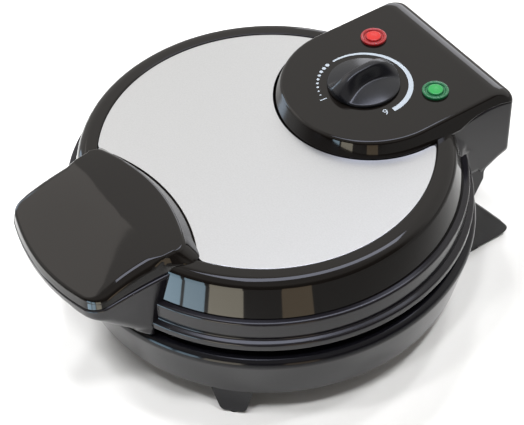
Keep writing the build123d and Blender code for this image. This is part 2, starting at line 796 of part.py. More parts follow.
# Lid cover: round wall and ring, the control panel and the handle's top, hollow throughout
with BuildPart() as soft_panel:
    add(panel_body(0))
    top_face = faces().filter_by(Axis.Z).sort_by(Axis.Z)[-1]
    fillet(top_face.edges().filter_by(lambda e: e.center().Y < rear_reach - 1.5 * panel_rear_round),
           radius=panel_edge_fillet)
with BuildPart() as lid_cover:
    with BuildSketch(Plane.XZ):
        with BuildLine():
            inside_z = steel_z - wall
            Polyline((0, steel_z), (recess_radius, steel_z), (recess_radius, ring_z),
                     (wall_top_radius, ring_z), (wall_foot_radius, ledge_z + seat_gap),
                     (wall_foot_radius - wall, ledge_z + seat_gap),
                     (lid_wall_radius(inside_z) - wall, inside_z), (0, inside_z), close=True)
        make_face()
    revolve(axis=Axis.Z)
    fillet(edges().filter_by(GeomType.CIRCLE).filter_by(
        lambda e: abs(e.radius - wall_top_radius) < 0.01), radius=shoulder_fillet)
    add(soft_panel.part)
    add(below_skirt(0), mode=Mode.SUBTRACT)
    add(handle_top_body(0))
    add(handle_top_body(wall), mode=Mode.SUBTRACT)
    with BuildSketch(Plane.XY.offset(steel_z - wall)):
        add(panel_outline(panel_low_half_width - 2 * wall, wall))
    extrude(amount=2 * wall, mode=Mode.SUBTRACT)
    add(panel_body(wall), mode=Mode.SUBTRACT)
    with PolarLocations(post_radius, 4):
        with Locations((0, 0, ledge_z + seat_gap)):
            Cylinder(lid_boss / 2, steel_z - wall - ledge_z,
                     align=(Align.CENTER, Align.CENTER, Align.MIN))
    with PolarLocations(post_radius, 4):
        with Locations((0, 0, ledge_z)):
            Cylinder(screw_diameter / 2 + pin_clearance, lid_screw_length,
                     align=(Align.CENTER, Align.CENTER, Align.MIN), mode=Mode.SUBTRACT)
    with Locations((0, knob_y, panel_z)):
        Cylinder(shaft_hole / 2, 3 * wall, mode=Mode.SUBTRACT)
    with Locations((-lamp_x, lamp_y, panel_z), (lamp_x, lamp_y, panel_z)):
        Cylinder(lamp_stem / 2 + fit_gap / 2, 3 * wall, mode=Mode.SUBTRACT)
keep(lid_cover.part, "lid_cover")
keep(screws(post_radius, 0, ledge_z - wall, lid_screw_length, True), "lid_cover_screws")

# Steel top plate: a disc with an arc cut away for the handle and a bay for the panel
rise = (steel_z - handle_tip_skirt_z) / (handle_top_z + fit_gap - handle_tip_skirt_z)
handle_arc_at_plate = handle_arc_low + rise * (handle_arc_top - handle_arc_low)
with BuildPart() as top_plate:
    with BuildSketch(Plane.XY.offset(steel_z + seat_gap)):
        Circle(recess_radius - groove / 2)
        with Locations((0, handle_inner_arc_y)):
            Circle(handle_arc_at_plate + groove, mode=Mode.SUBTRACT)
        add(panel_outline(panel_low_half_width + groove, -wall), mode=Mode.SUBTRACT)
    extrude(amount=steel_thickness)
    outer = edges().filter_by(Axis.Z).filter_by(
        lambda e: (e.center() - Vector(0, 0, e.center().Z)).length > recess_radius - steel_corner)
    fillet(outer, radius=steel_corner)
keep(top_plate.part, "top_plate")

# Lid housing: flange with its bead, the wedge under the handle and the hinge tower
with BuildPart() as lid_housing:
    with BuildSketch(Plane.XZ):
        with BuildLine():
            Polyline((ledge_inner_radius, ledge_z), (flange_radius - flange_chamfer, ledge_z),
                     (flange_radius, ledge_z - flange_chamfer), (flange_radius, flange_foot_z),
                     (bead_radius, bead_top_z), (bead_radius, bead_low_z),
                     (bead_radius - bead_chamfer, lip_z), (flange_radius - wall, lip_z),
                     (flange_radius - wall, ledge_z - wall),
                     (ledge_inner_radius, ledge_z - wall), (ledge_inner_radius, ledge_z))
        make_face()
    revolve(axis=Axis.Z)
    add(handle_wedge())
    add(hinge_tower())
    with PolarLocations(post_radius, 8):
        with Locations((0, 0, ledge_z)):
            Cylinder(screw_diameter / 2 + pin_clearance, 3 * wall, mode=Mode.SUBTRACT)
keep(lid_housing.part, "lid_housing")

# Reflector pans
keep(reflector(lower_reflector_z, True), "lower_reflector")
keep(reflector(upper_reflector_z, False), "upper_reflector")

# Thermostat: strap bracket on the upper reflector, ceramic body, nut and shaft
with BuildPart() as thermostat_bracket:
    with BuildSketch(Plane.XZ.offset(-knob_y)):
        with BuildLine():
            low = upper_reflector_z + reflector_thickness + seat_gap + sheet / 2
            high = thermostat_plate_z + sheet / 2
            foot = bracket_half_span + bracket_foot
            strap = Polyline((-foot, low), (-bracket_half_span, low), (-bracket_half_span, high),
                             (bracket_half_span, high), (bracket_half_span, low), (foot, low))
            offset(strap, amount=sheet / 2, kind=Kind.INTERSECTION)
        make_face()
    extrude(amount=bracket_width / 2, both=True)
    with Locations((0, knob_y, thermostat_plate_z)):
        Cylinder(bush_diameter / 2 + pin_clearance, 4 * sheet, mode=Mode.SUBTRACT)
keep(thermostat_bracket.part, "thermostat_bracket")

with BuildPart() as thermostat_body:
    with Locations((0, knob_y, thermostat_plate_z - seat_gap)):
        Box(thermostat_body_length, nut_flats, thermostat_body_height,
            align=(Align.CENTER, Align.CENTER, Align.MAX))
        Cylinder(bush_diameter / 2, bush_height, align=(Align.CENTER, Align.CENTER, Align.MIN))
    fillet(edges().filter_by(Axis.Z), radius=2)
    with Locations((0, knob_y, shaft_low_z - 2 * seat_gap)):
        Cylinder(shaft_diameter / 2 + pin_clearance, 2 * thermostat_body_height,
                 align=(Align.CENTER, Align.CENTER, Align.MIN), mode=Mode.SUBTRACT)
keep(thermostat_body.part, "thermostat_body")

with BuildPart() as thermostat_nut:
    with BuildSketch(Plane.XY.offset(thermostat_plate_z + sheet + seat_gap)):
        with Locations((0, knob_y)):
            RegularPolygon(nut_flats / 2, 6, major_radius=False)
            Circle(bush_diameter / 2 + pin_clearance, mode=Mode.SUBTRACT)
    extrude(amount=nut_height)
keep(thermostat_nut.part, "thermostat_nut")

knob_z = panel_z + knob_float
with BuildPart() as thermostat_shaft:
    with Locations((0, knob_y, shaft_low_z)):
        Cylinder(shaft_diameter / 2, knob_z + shaft_engagement - shaft_low_z,
                 align=(Align.CENTER, Align.CENTER, Align.MIN))
keep(thermostat_shaft.part, "thermostat_shaft")

# Knob: a flat skirt, a dome with two hollows that leave a grip bar, and a hub inside
with BuildPart() as knob_form:
    with BuildSketch(Plane.XZ):
        with BuildLine():
            Polyline((0, knob_height), (0, 0), (knob_diameter / 2, 0),
                     (knob_diameter / 2, knob_skirt - 1), (knob_diameter / 2 - 1, knob_skirt),
                     (grip_reach, knob_skirt))
            ThreePointArc((grip_reach, knob_skirt), (grip_reach - 3.5, knob_height - 2.4),
                          (grip_reach - 9, knob_height))
            Line((grip_reach - 9, knob_height), (0, knob_height))
        make_face()
    revolve(axis=Axis.Z)
    scoop_x = grip_width / 2 + sqrt(scoop_radius**2
                                    - (scoop_radius - knob_height + knob_skirt)**2)
    with Locations(Location((-scoop_x, 0, knob_skirt + scoop_radius), (90, 0, 0)),
                   Location((scoop_x, 0, knob_skirt + scoop_radius), (90, 0, 0))):
        Cylinder(scoop_radius, knob_diameter, mode=Mode.SUBTRACT)
    with BuildSketch():
        Circle(knob_diameter / 2 - knob_wall)
        Circle(hub_radius, mode=Mode.SUBTRACT)
    extrude(amount=knob_skirt - knob_wall, mode=Mode.SUBTRACT)
    Cylinder(shaft_diameter / 2 + pin_clearance, shaft_engagement + seat_gap,
             align=(Align.CENTER, Align.CENTER, Align.MIN), mode=Mode.SUBTRACT)
keep(knob_form.part.moved(Location((0, knob_y, knob_z), (0, 0, grip_angle - 90))), "knob")

with BuildPart() as knob_spring_ring:
    with BuildSketch(Plane.XY.offset(knob_z + fit_gap)):
        with Locations((0, knob_y)):
            Circle(hub_radius + pin_clearance + spring_wire)
            Circle(hub_radius + pin_clearance, mode=Mode.SUBTRACT)
        with Locations((0, knob_y + hub_radius)):
            Rectangle(hub_radius / 2, hub_radius, mode=Mode.SUBTRACT)
    extrude(amount=spring_height)
keep(knob_spring_ring.part, "knob_spring_ring")


def lamp_lens(x):
    """Lens with a low dome, a flange that rests on the panel and a hollow stem."""
    low = panel_z + seat_gap
    with BuildPart() as lens:
        with BuildSketch(Plane.XZ):
            with BuildLine():
                top = low + lamp_flange + lamp_dome
                ThreePointArc((0, top), (lamp_diameter * 0.3, top - lamp_dome * 0.36),
                              (lamp_diameter / 2, low + lamp_flange))
                Polyline((lamp_diameter / 2, low + lamp_flange), (lamp_diameter / 2, low),
                         (lamp_stem / 2, low), (lamp_stem / 2, low - lamp_stem_length),
                         (neon_diameter / 2 + fit_gap, low - lamp_stem_length),
                         (neon_diameter / 2 + fit_gap, low), (0, low), (0, top))
            make_face()
        revolve(axis=Axis.Z)
    return lens.part.moved(Location((x, lamp_y, 0)))


keep(lamp_lens(-lamp_x), "red_lamp_lens")
keep(lamp_lens(lamp_x), "green_lamp_lens")

with BuildPart() as neon_lamps:
    with Locations((-lamp_x, lamp_y, panel_z - neon_diameter),
                   (lamp_x, lamp_y, panel_z - neon_diameter)):
        Cylinder(neon_diameter / 2, neon_length, align=(Align.CENTER, Align.CENTER, Align.MAX))
        Sphere(neon_diameter / 2)
keep(neon_lamps.part, "neon_lamps")

# Thermal fuse under its strap on the upper reflector
fuse_z = upper_reflector_z + reflector_thickness + seat_gap + fuse_diameter / 2
with BuildPart() as thermal_fuse:
    with Locations(Location((fuse_x, 0, fuse_z), (90, 0, 0))):
        Cylinder(fuse_diameter / 2, fuse_length)
keep(thermal_fuse.part, "thermal_fuse")

with BuildPart() as fuse_strap:
    with BuildSketch(Plane.XZ):
        with Locations((fuse_x, fuse_z)):
            Circle(fuse_diameter / 2 + seat_gap + reflector_thickness)
        with Locations((fuse_x, fuse_z - fuse_diameter / 2)):
            Rectangle(4 * fuse_diameter, reflector_thickness, align=(Align.CENTER, Align.MIN))
            Rectangle(4 * fuse_diameter, fuse_diameter, align=(Align.CENTER, Align.MAX),
                      mode=Mode.SUBTRACT)
            Rectangle(fuse_diameter + 2 * seat_gap, fuse_diameter / 2,
                      align=(Align.CENTER, Align.MIN), mode=Mode.SUBTRACT)
        with Locations((fuse_x, fuse_z)):
            Circle(fuse_diameter / 2 + seat_gap, mode=Mode.SUBTRACT)
    extrude(amount=fuse_length / 4, both=True)
keep(fuse_strap.part, "fuse_strap")
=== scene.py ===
# %% [markdown]
# # A walnut cookie maker, dressed for its portrait
# The object is a round countertop cooker. Its lid carries a satin steel plate, a glossy
# handle at the front and a control panel at the rear. The CAD model gives the exact place
# of every piece; this file adds smooth skins and finishes. Lengths are in millimetres in
# the sums and are turned to metres when a mesh is made.

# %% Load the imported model
import math

import bmesh
import bpy
import numpy as np
from mathutils import Matrix, Vector


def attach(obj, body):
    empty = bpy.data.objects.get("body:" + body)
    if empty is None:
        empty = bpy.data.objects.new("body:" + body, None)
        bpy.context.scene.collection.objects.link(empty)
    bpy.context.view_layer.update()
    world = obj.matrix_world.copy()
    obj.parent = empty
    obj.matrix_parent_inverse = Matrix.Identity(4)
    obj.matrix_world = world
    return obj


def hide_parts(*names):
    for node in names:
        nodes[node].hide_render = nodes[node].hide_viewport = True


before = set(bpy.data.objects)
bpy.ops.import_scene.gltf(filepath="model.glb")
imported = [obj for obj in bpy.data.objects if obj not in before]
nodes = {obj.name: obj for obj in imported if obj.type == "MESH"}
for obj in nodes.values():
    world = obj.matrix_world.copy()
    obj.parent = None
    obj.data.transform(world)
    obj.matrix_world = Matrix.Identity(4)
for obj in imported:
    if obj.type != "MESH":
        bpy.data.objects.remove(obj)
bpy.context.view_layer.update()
print("CAD nodes:", len(nodes))

# %% [markdown]
# ## Camera
# The photograph looks down at the cooker from its front right. Circles of known shape (the
# rim, the steel plate, the knob) show as ellipses, and their flattening gives the camera's
# height and distance. The lens is long, so the far side shrinks only a little.

# %% Place the camera
AZIMUTH, ELEVATION, ROLL = np.radians([57.47, 45.87, -2.30])
TARGET = np.array([9.8, -5.85, 60.0])
DISTANCE, SENSOR_MM, FOCAL_PX, FRAME_PX = 944.1, 36.0, 1643.4, 524

back = np.array([math.sin(AZIMUTH) * math.cos(ELEVATION),
                 -math.cos(AZIMUTH) * math.cos(ELEVATION), math.sin(ELEVATION)])
right = np.array([math.cos(AZIMUTH), math.sin(AZIMUTH), 0.0])
up = np.cross(back, right)
tilted_right = math.cos(ROLL) * right + math.sin(ROLL) * up
tilted_up = math.cos(ROLL) * up - math.sin(ROLL) * right

lens_data = bpy.data.cameras.new("studio_camera")
lens_data.sensor_width = SENSOR_MM
lens_data.lens = FOCAL_PX * SENSOR_MM / FRAME_PX
camera = bpy.data.objects.new("studio_camera", lens_data)
bpy.context.scene.collection.objects.link(camera)
stance = Matrix((tilted_right, tilted_up, back)).transposed().to_4x4()
stance.translation = Vector((TARGET + DISTANCE * back) / 1000)
camera.matrix_world = stance
bpy.context.scene.camera = camera
print("lens", round(lens_data.lens, 1), "mm")

# %% [markdown]
# ## Two small helpers
# Colours are given as sRGB hex codes, but light adds up in linear values, so one function
# turns the first into the second. Shader nodes are added by one function too, so that each
# material below reads as a short list.

# %% Colour and node helpers


def srgb(code):
    """Linear RGBA of an sRGB hex colour: each channel is (c + 0.055) / 1.055 to the 2.4."""
    c = np.array([int(code[i:i + 2], 16) for i in (1, 3, 5)]) / 255
    low = c / 12.92
    high = ((c + 0.055) / 1.055) ** 2.4
    return (*np.where(c <= 0.04045, low, high).tolist(), 1.0)


def node(tree, kind, links=None, **settings):
    """Adds one shader node. Settings name its sockets or attributes; links feed sockets."""
    n = tree.nodes.new(kind)
    for key, value in settings.items():
        if key in n.inputs:
            n.inputs[key].default_value = value
        else:
            setattr(n, key, value)
    for key, source in (links or {}).items():
        tree.links.new(source, n.inputs[key])
    return n


print("linear mid grey:", round(srgb("#808080")[0], 3))

# %% [markdown]
# ## Floor
# The cooker stands on a wide sheet of matt paper. Paper is rough enough to mirror nothing,
# so all it adds is a soft contact shadow.

# %% Floor


def sheet(name, x, y, z):
    """Flat rectangle reaching x and y either way from the middle, at height z."""
    corners = np.array([(-x, -y, z), (x, -y, z), (x, y, z), (-x, y, z)]) / 1000
    mesh = bpy.data.meshes.new(name)
    mesh.from_pydata(corners.tolist(), [], [(0, 1, 2, 3)])
    obj = bpy.data.objects.new(name, mesh)
    bpy.context.scene.collection.objects.link(obj)
    return obj


floor = sheet("studio_floor", 4000, 4000, -0.2)
# Uncoated paper: flat and even, with no sheen.
paper = bpy.data.materials.new("white_sweep_paper")
paper.use_nodes = True
paper_surface = paper.node_tree.nodes["Principled BSDF"]
paper_surface.inputs["Base Color"].default_value = srgb("#cfcfcf")
paper_surface.inputs["Roughness"].default_value = 0.9
floor.data.materials.append(paper)
print("floor material:", paper.name)

# %% [markdown]
# ## Sky
# Black gloss shows nothing but what it mirrors, so the sky is built for its reflections. It
# is pale behind the object, which the flat tops mirror, and dark on the camera's side, which
# the walls mirror, so that they stay black. Each side is a ramp of colours by height.

# %% Sky
AWAY_FROM_CAMERA = (-0.84, 0.54, 0)
FADE_FROM, FADE_TO = -0.35, 0.1    # cosines between which the dark side turns pale

sky = bpy.data.worlds.new("studio_sky")
sky.use_nodes = True
sky_tree = sky.node_tree


def sky_bands(direction, stops):
    """Colours by height above the horizon: the sine of the angle picks them from a ramp."""
    height = node(sky_tree, "ShaderNodeSeparateXYZ", {"Vector": direction}).outputs["Z"]
    ramp = node(sky_tree, "ShaderNodeValToRGB", {"Fac": height})
    bands = ramp.color_ramp.elements
    bands[0].color = srgb(stops[0][1])
    bands[1].position = stops[-1][0]
    bands[1].color = srgb(stops[-1][1])
    for place, code in stops[1:-1]:
        bands.new(place).color = srgb(code)
    return ramp.outputs["Color"]


direction = node(sky_tree, "ShaderNodeTexCoord").outputs["Generated"]
behind = sky_bands(direction, [(0, "#e9e7e4"), (0.45, "#f2f0ec"), (0.88, "#f2f0ec"),
                               (0.95, "#a09e9b")])
before = sky_bands(direction, [(0, "#57504a"), (0.35, "#5a534d"), (0.6, "#b5b0aa"),
                               (0.95, "#a09e9b")])
facing = node(sky_tree, "ShaderNodeVectorMath", {0: direction}, operation="DOT_PRODUCT")
facing.inputs[1].default_value = AWAY_FROM_CAMERA
share = node(sky_tree, "ShaderNodeMapRange", {"Value": facing.outputs["Value"]},
             **{"From Min": FADE_FROM, "From Max": FADE_TO})
mix = node(sky_tree, "ShaderNodeMix", {"Factor": share.outputs["Result"], "A": before,
                                       "B": behind}, data_type="RGBA")
sky_tree.links.new(mix.outputs["Result"], sky_tree.nodes["Background"].inputs["Color"])
bpy.context.scene.world = sky
bpy.context.scene.view_settings.view_transform = "Standard"
print("sky nodes:", len(sky_tree.nodes))

# %% [markdown]
# ## Lamps
# Eight spot lamps in a ring light a pool of floor, which stays white in the picture without
# one hard shadow. Mirror images leave them out, or each would show as a hard dot.

# %% Lamps
POOL_X, POOL_Y, POOL_RADIUS = -0.16, -0.05, 0.37
RING_RADIUS, RING_HEIGHT, LAMP_COUNT, LAMP_POWER = 0.9, 1.9, 8, 62


def hang(name, lamp, place, aim):
    """Hangs a lamp at a place in metres and points it at its aim."""
    obj = bpy.data.objects.new(name, lamp)
    obj.location = place
    obj.rotation_euler = (Vector(aim) - Vector(place)).to_track_quat("-Z", "Y").to_euler()
    bpy.context.scene.collection.objects.link(obj)
    return obj


def pool_lamp(name, place, aim, radius, power):
    """Spot lamp that lights a round pool of a given radius about its aim: half its cone is
    the angle whose tangent is radius over distance."""
    lamp = bpy.data.lights.new(name, "SPOT")
    lamp.spot_size = 2 * math.atan(radius / (Vector(aim) - Vector(place)).length)
    lamp.spot_blend, lamp.shadow_soft_size, lamp.energy = 0.2, 0.12, power
    hang(name, lamp, place, aim).visible_glossy = False


for k in range(LAMP_COUNT):
    round_ring = 2 * math.pi * k / LAMP_COUNT
    pool_lamp(f"pool_lamp_{k}", (POOL_X + RING_RADIUS * math.cos(round_ring),
                                 POOL_Y + RING_RADIUS * math.sin(round_ring), RING_HEIGHT),
              (POOL_X, POOL_Y, 0), POOL_RADIUS, LAMP_POWER)
print("pool lamps:", LAMP_COUNT)

# %% [markdown]
# ## Mirror boxes
# The gloss needs something to mirror, so boxes of light stand round the object that only
# mirror images see. The roof box draws the thin light along every rolled edge, and windows
# stand low all round, as in a bright room.

# %% Mirror boxes
MIRROR_BOXES = {    # place, aim and size in metres, then brightness and tint
    "roof_box": ((0.0, 0.2, 1.5), (0, 0.1, 0.1), (0.6, 1.3), 5.5, "#e4e9ff"),
    "window_pane_1": ((0.067, -0.294, 0.055), (0.048, -0.095, 0.09), (0.05, 0.11), 8.0,
                      "#b4d8ee"),
    "window_pane_2": ((0.124, -0.279, 0.055), (0.062, -0.088, 0.09), (0.05, 0.11), 7.0,
                      "#bcdcf0"),
    "curtain": ((0.19, -0.242, 0.055), (0.08, -0.075, 0.09), (0.08, 0.11), 4.5, "#f4ebd4"),
    "doorway": ((0.287, -0.112, 0.055), (0.1, -0.045, 0.09), (0.07, 0.1), 1.6, "#eccfa6"),
    "side_window": ((-0.74, -0.31, 0.28), (0, 0.03, 0.105), (0.22, 0.5), 4.0, "#c6dcf4"),
    "side_wall": ((-1.0, -0.3, 1.1), (0, -0.1, 0.1), (0.9, 0.5), 0.8, "#fbf3ec"),
    "rear_window": ((-0.75, 1.0, 0.38), (0, 0.12, 0.1), (0.7, 0.45), 2.0, "#f4f6ff"),
}


def mirror_box(name, place, aim, size, shine, tint):
    """Rectangular lamp that shows only in mirror images. Its power is pi times its area
    times the shine wanted, which is its brightness against a white of 1."""
    lamp = bpy.data.lights.new(name, "AREA")
    lamp.shape = "RECTANGLE"
    lamp.size, lamp.size_y = size
    lamp.energy = math.pi * size[0] * size[1] * shine
    lamp.color = srgb(tint)[:3]
    obj = hang(name, lamp, place, aim)
    obj.visible_diffuse = obj.visible_camera = False


for box_name, box in MIRROR_BOXES.items():
    mirror_box(box_name, *box)
print("mirror boxes:", len(MIRROR_BOXES))

# %% [markdown]
# ## Plastics
# Injection-moulded ABS is black all through; its polished tool leaves a mirror with a faint
# waviness. The housing and base are the same plastic from a slightly duller tool, in dark
# grey. Waves and grain are noise at a real size in millimetres. An eroded tool's grain is
# near 0.1 mm, too fine for the picture, so all of it is drawn several times as coarse.

# %% Plastics
WAVE_MM, WIPE_MM = 18.0, 25.0


def new_material(name):
    """An empty material: itself, its nodes, its surface and the piece's own coordinates."""
    mat = bpy.data.materials.new(name)
    mat.use_nodes = True
    tree = mat.node_tree
    place = node(tree, "ShaderNodeTexCoord").outputs["Object"]
    return mat, tree, tree.nodes["Principled BSDF"], place


def plastic(name, colour, rough, wave=0.02, grain_mm=0.0, grain=0.0, ior=1.49):
    """Moulded plastic: slow waves from the tool's polish, an optional fine erosion grain,
    and a roughness that wanders a little, as handling and wiping leave it."""
    mat, tree, bsdf, place = new_material(name)
    bsdf.inputs["Base Color"].default_value = srgb(colour)
    bsdf.inputs["IOR"].default_value = ior
    waves = node(tree, "ShaderNodeTexNoise", {"Vector": place}, Scale=1000 / WAVE_MM,
                 Detail=1.0)
    bump = node(tree, "ShaderNodeBump", {"Height": waves.outputs["Fac"]}, Strength=1.0,
                Distance=wave / 1000)
    if grain:
        fine = node(tree, "ShaderNodeTexNoise", {"Vector": place}, Scale=1000 / grain_mm,
                    Detail=3.0)
        bump = node(tree, "ShaderNodeBump", {"Height": fine.outputs["Fac"],
                                             "Normal": bump.outputs["Normal"]},
                    Strength=1.0, Distance=grain / 1000)
    tree.links.new(bump.outputs["Normal"], bsdf.inputs["Normal"])
    wipe = node(tree, "ShaderNodeTexNoise", {"Vector": place}, Scale=1000 / WIPE_MM,
                Detail=4.0)
    spread = node(tree, "ShaderNodeMapRange", {"Value": wipe.outputs["Fac"]},
                  **{"To Min": rough * 0.8, "To Max": rough * 1.25})
    tree.links.new(spread.outputs["Result"], bsdf.inputs["Roughness"])
    return mat


# Polished tool: a hard black mirror that shows the room.
gloss_abs = plastic("gloss_black_abs", "#0b0908", 0.05, wave=0.015, ior=1.43)
# Duller tool: mirrors the same things softly, on a colder dark grey.
grey_abs = plastic("dark_grey_abs", "#131216", 0.14, grain_mm=0.6, grain=0.003, ior=1.43)
# The base's: darker still, with weak mirror images, so that the floor doesn't wash it out.
base_abs = plastic("dark_grey_base_abs", "#0d0d11", 0.12, ior=1.34)
# Coarsely eroded tool: close to matt black.
foot_pp = plastic("black_polypropylene", "#060607", 0.6, grain_mm=0.5, grain=0.02)
# Plain underside cover: dull, with a visible grain.
cover_pp = plastic("black_cover_polypropylene", "#141415", 0.5, grain_mm=0.7, grain=0.03)
# Moulded rubber: swallows the light.
rubber = plastic("black_rubber", "#111111", 0.75, grain_mm=0.4, grain=0.03)
# Semi-gloss with a cold cast: broad soft lights along the bar.
knob_abs = plastic("knob_abs", "#0b0c10", 0.2, wave=0.01)
# Unglazed fired clay: pale and chalky.
ceramic = plastic("steatite_ceramic", "#e6e0d2", 0.4, grain_mm=0.5, grain=0.01)
# Moulded nylon: milky, with a waxy gleam.
terminal = plastic("white_nylon", "#ece8db", 0.45, grain_mm=0.8, grain=0.01)
# Pad-printed ink: flat and even. It is grey here, because the lamps bring it up to white.
ink = plastic("white_pad_print", "#7c838b", 0.45, grain_mm=0.3, grain=0.003)
print("materials so far:", len(bpy.data.materials))

# %% [markdown]
# ## Metals
# The plate is stainless steel, blasted to a satin with no direction, so that it stays pale
# from every side. Screws are zinc plated, the pans are rolled aluminium with faint lines
# along the rolling, and the heater's sheath has been brown and patchy since its first use.
# Real grain is a few hundredths of a millimetre, so all of it is drawn 0.6 to 2 mm coarse.

# %% Metals


def metal(name, colour, rough, grain_mm, grain, stretch=(1, 1, 1), tint=0.12):
    """Bare metal: a grain of given size, stretched along a rolling direction, drives the
    bump, the roughness and a slight change of shade."""
    mat, tree, bsdf, place = new_material(name)
    bsdf.inputs["Metallic"].default_value = 1.0
    mapped = node(tree, "ShaderNodeMapping", {"Vector": place}, Scale=stretch)
    fine = node(tree, "ShaderNodeTexNoise", {"Vector": mapped.outputs["Vector"]},
                Scale=1000 / grain_mm, Detail=4.0)
    ramp = node(tree, "ShaderNodeValToRGB", {"Fac": fine.outputs["Fac"]})
    base = np.array(srgb(colour))
    dark, light = ramp.color_ramp.elements
    dark.position, light.position = 0.3, 0.7
    dark.color = (*(base[:3] * (1 - tint)).tolist(), 1)
    light.color = (*base[:3].tolist(), 1)
    tree.links.new(ramp.outputs["Color"], bsdf.inputs["Base Color"])
    spread = node(tree, "ShaderNodeMapRange", {"Value": fine.outputs["Fac"]},
                  **{"To Min": rough * 0.8, "To Max": rough * 1.2})
    tree.links.new(spread.outputs["Result"], bsdf.inputs["Roughness"])
    bump = node(tree, "ShaderNodeBump", {"Height": fine.outputs["Fac"]}, Strength=1.0,
                Distance=grain / 1000)
    tree.links.new(bump.outputs["Normal"], bsdf.inputs["Normal"])
    return mat


# Blasted steel: light spreads evenly, with no streaks.
satin_steel = metal("satin_stainless_steel", "#dfe0e1", 0.32, 0.9, 0.004, tint=0.06)
# Plated screws and straps: bright and a little cloudy.
zinc_steel = metal("zinc_plated_steel", "#a9aaa8", 0.35, 1.5, 0.01)
# Blackened screws under the base: a dull dark gleam.
black_zinc = metal("black_zinc_steel", "#19191b", 0.45, 1.5, 0.01)
# Heater sheath that has been hot: brown-grey and patchy.
sheathed = metal("oxidised_heater_sheath", "#4d4843", 0.5, 2.0, 0.02, tint=0.3)
# Rolled sheet: pale, with lines along the rolling.
pan_metal = metal("mill_finish_aluminium", "#c2c4c6", 0.3, 0.6, 0.006, stretch=(1, 6, 1))
# Turned brass: warm and bright.
brass = metal("turned_brass", "#c9a25a", 0.25, 0.8, 0.005)
print("materials so far:", len(bpy.data.materials))

# %% [markdown]
# ## Coloured caps
# The lamps' lenses are clear polycarbonate, dyed right through. The glow of a lit neon
# behind them is painted into the lens: its middle is a brighter colour and the lens emits
# faintly, while the trough round it stays deep.

# %% Lens plastic
SHIFT = 5.25    # the round body's axis lies this far behind the middle of the footprint
LAMP_X, LAMP_Y = 29.3, 96.9    # the lamps lie so far off that axis
FACET_MM, CAP_REACH = 0.8, 8.0


def lens_plastic(name, painted_glow_colour, deep, middle):
    """Clear coloured polycarbonate over a grid of square facets. The neon's glow is painted
    in: by the distance from the lens's axis, the middle takes a brighter colour than the
    deep trough and rim, and the lens emits faintly in that colour."""
    mat, tree, bsdf, place = new_material(name)
    bsdf.inputs["Roughness"].default_value = 0.08
    bsdf.inputs["IOR"].default_value = 1.58
    bsdf.inputs["Coat Weight"].default_value = 0.2
    centred = node(tree, "ShaderNodeMapping", {"Vector": place},
                   Location=(-middle[0] / 1000, -middle[1] / 1000, 0), Scale=(1, 1, 0))
    reach = node(tree, "ShaderNodeVectorMath", {"Vector": centred.outputs["Vector"]},
                 operation="LENGTH")
    share = node(tree, "ShaderNodeMapRange", {"Value": reach.outputs["Value"]},
                 **{"From Max": CAP_REACH / 1000})
    ramp = node(tree, "ShaderNodeValToRGB", {"Fac": share.outputs["Result"]})
    # Painted glow: inside this radius the lens is brighter, as if lit by the neon.
    painted_glow_band, trough_band = ramp.color_ramp.elements
    painted_glow_band.color, painted_glow_band.position = srgb(painted_glow_colour), 0.48
    trough_band.color, trough_band.position = srgb(deep), 0.58
    tree.links.new(ramp.outputs["Color"], bsdf.inputs["Base Color"])
    # Painted glow: the lens emits faintly in its own colour, most in the middle.
    tree.links.new(ramp.outputs["Color"], bsdf.inputs["Emission Color"])
    bsdf.inputs["Emission Strength"].default_value = 0.12
    facets = node(tree, "ShaderNodeTexVoronoi", {"Vector": place}, Scale=1000 / FACET_MM,
                  Randomness=0.0, distance="CHEBYCHEV")
    bump = node(tree, "ShaderNodeBump", {"Height": facets.outputs["Distance"]}, Strength=0.6,
                Distance=0.0003)
    tree.links.new(bump.outputs["Normal"], bsdf.inputs["Normal"])
    return mat


# Clear dyed caps: a painted glow in the middle, a deep trough and a sharp small highlight.
red_lens = lens_plastic("red_polycarbonate", "#8a0c08", "#6a0b0e",
                        (-LAMP_X, LAMP_Y + SHIFT))
green_lens = lens_plastic("green_polycarbonate", "#0f6b30", "#034526",
                          (LAMP_X, LAMP_Y + SHIFT))
print("materials:", len(bpy.data.materials))

# %% [markdown]
# ## Finishes of the inner pieces
# The solids that come straight from the CAD keep their shape and get a finish each, so the
# open lid and the underside look as complete as the front. The moulds are cast aluminium
# under a sprayed coat that keeps pastry from sticking.

# %% Dress the CAD nodes
# Sprayed coat: charcoal with a soft sheen, over the slight roughness of the casting.
non_stick = plastic("non_stick_coating", "#1b1b1d", 0.42, grain_mm=0.7, grain=0.02)
# Blown glass of the neon lamps: only its gloss shows, inside the lenses' stems.
glass = plastic("lamp_glass", "#e8e6e0", 0.08)
finishes = {
    "bottom_cover": cover_pp, "bottom_cover_screws": black_zinc,
    "lower_plate_posts": zinc_steel, "lower_plate_screws": zinc_steel,
    "upper_plate_posts": zinc_steel, "upper_plate_screws": zinc_steel,
    "lid_cover_screws": zinc_steel,
    "lower_mould_plate": non_stick, "upper_mould_plate": non_stick, "lower_heater": sheathed,
    "upper_heater": sheathed, "lower_reflector": pan_metal, "upper_reflector": pan_metal,
    "terminal_block": terminal, "hinge_bushes": brass, "hinge_pins": zinc_steel,
    "thermostat_bracket": zinc_steel, "thermostat_body": ceramic, "thermostat_nut": brass,
    "thermostat_shaft": zinc_steel, "knob_spring_ring": zinc_steel, "neon_lamps": glass,
    "thermal_fuse": pan_metal, "fuse_strap": zinc_steel, "cord_gland": rubber,
    "foot_pads": rubber, "front_feet": base_abs, "rear_legs": foot_pp,
    "base_shell": base_abs, "lid_housing": grey_abs, "lid_cover": gloss_abs,
    "knob": knob_abs, "top_plate": satin_steel, "red_lamp_lens": red_lens,
    "green_lamp_lens": green_lens,
}


def dress(name, material):
    """Gives a CAD node its finish."""
    mesh = nodes[name].data
    mesh.materials.clear()
    mesh.materials.append(material)


for part_name, finish in finishes.items():
    dress(part_name, finish)
print("undressed:", sorted(set(nodes) - set(finishes)))

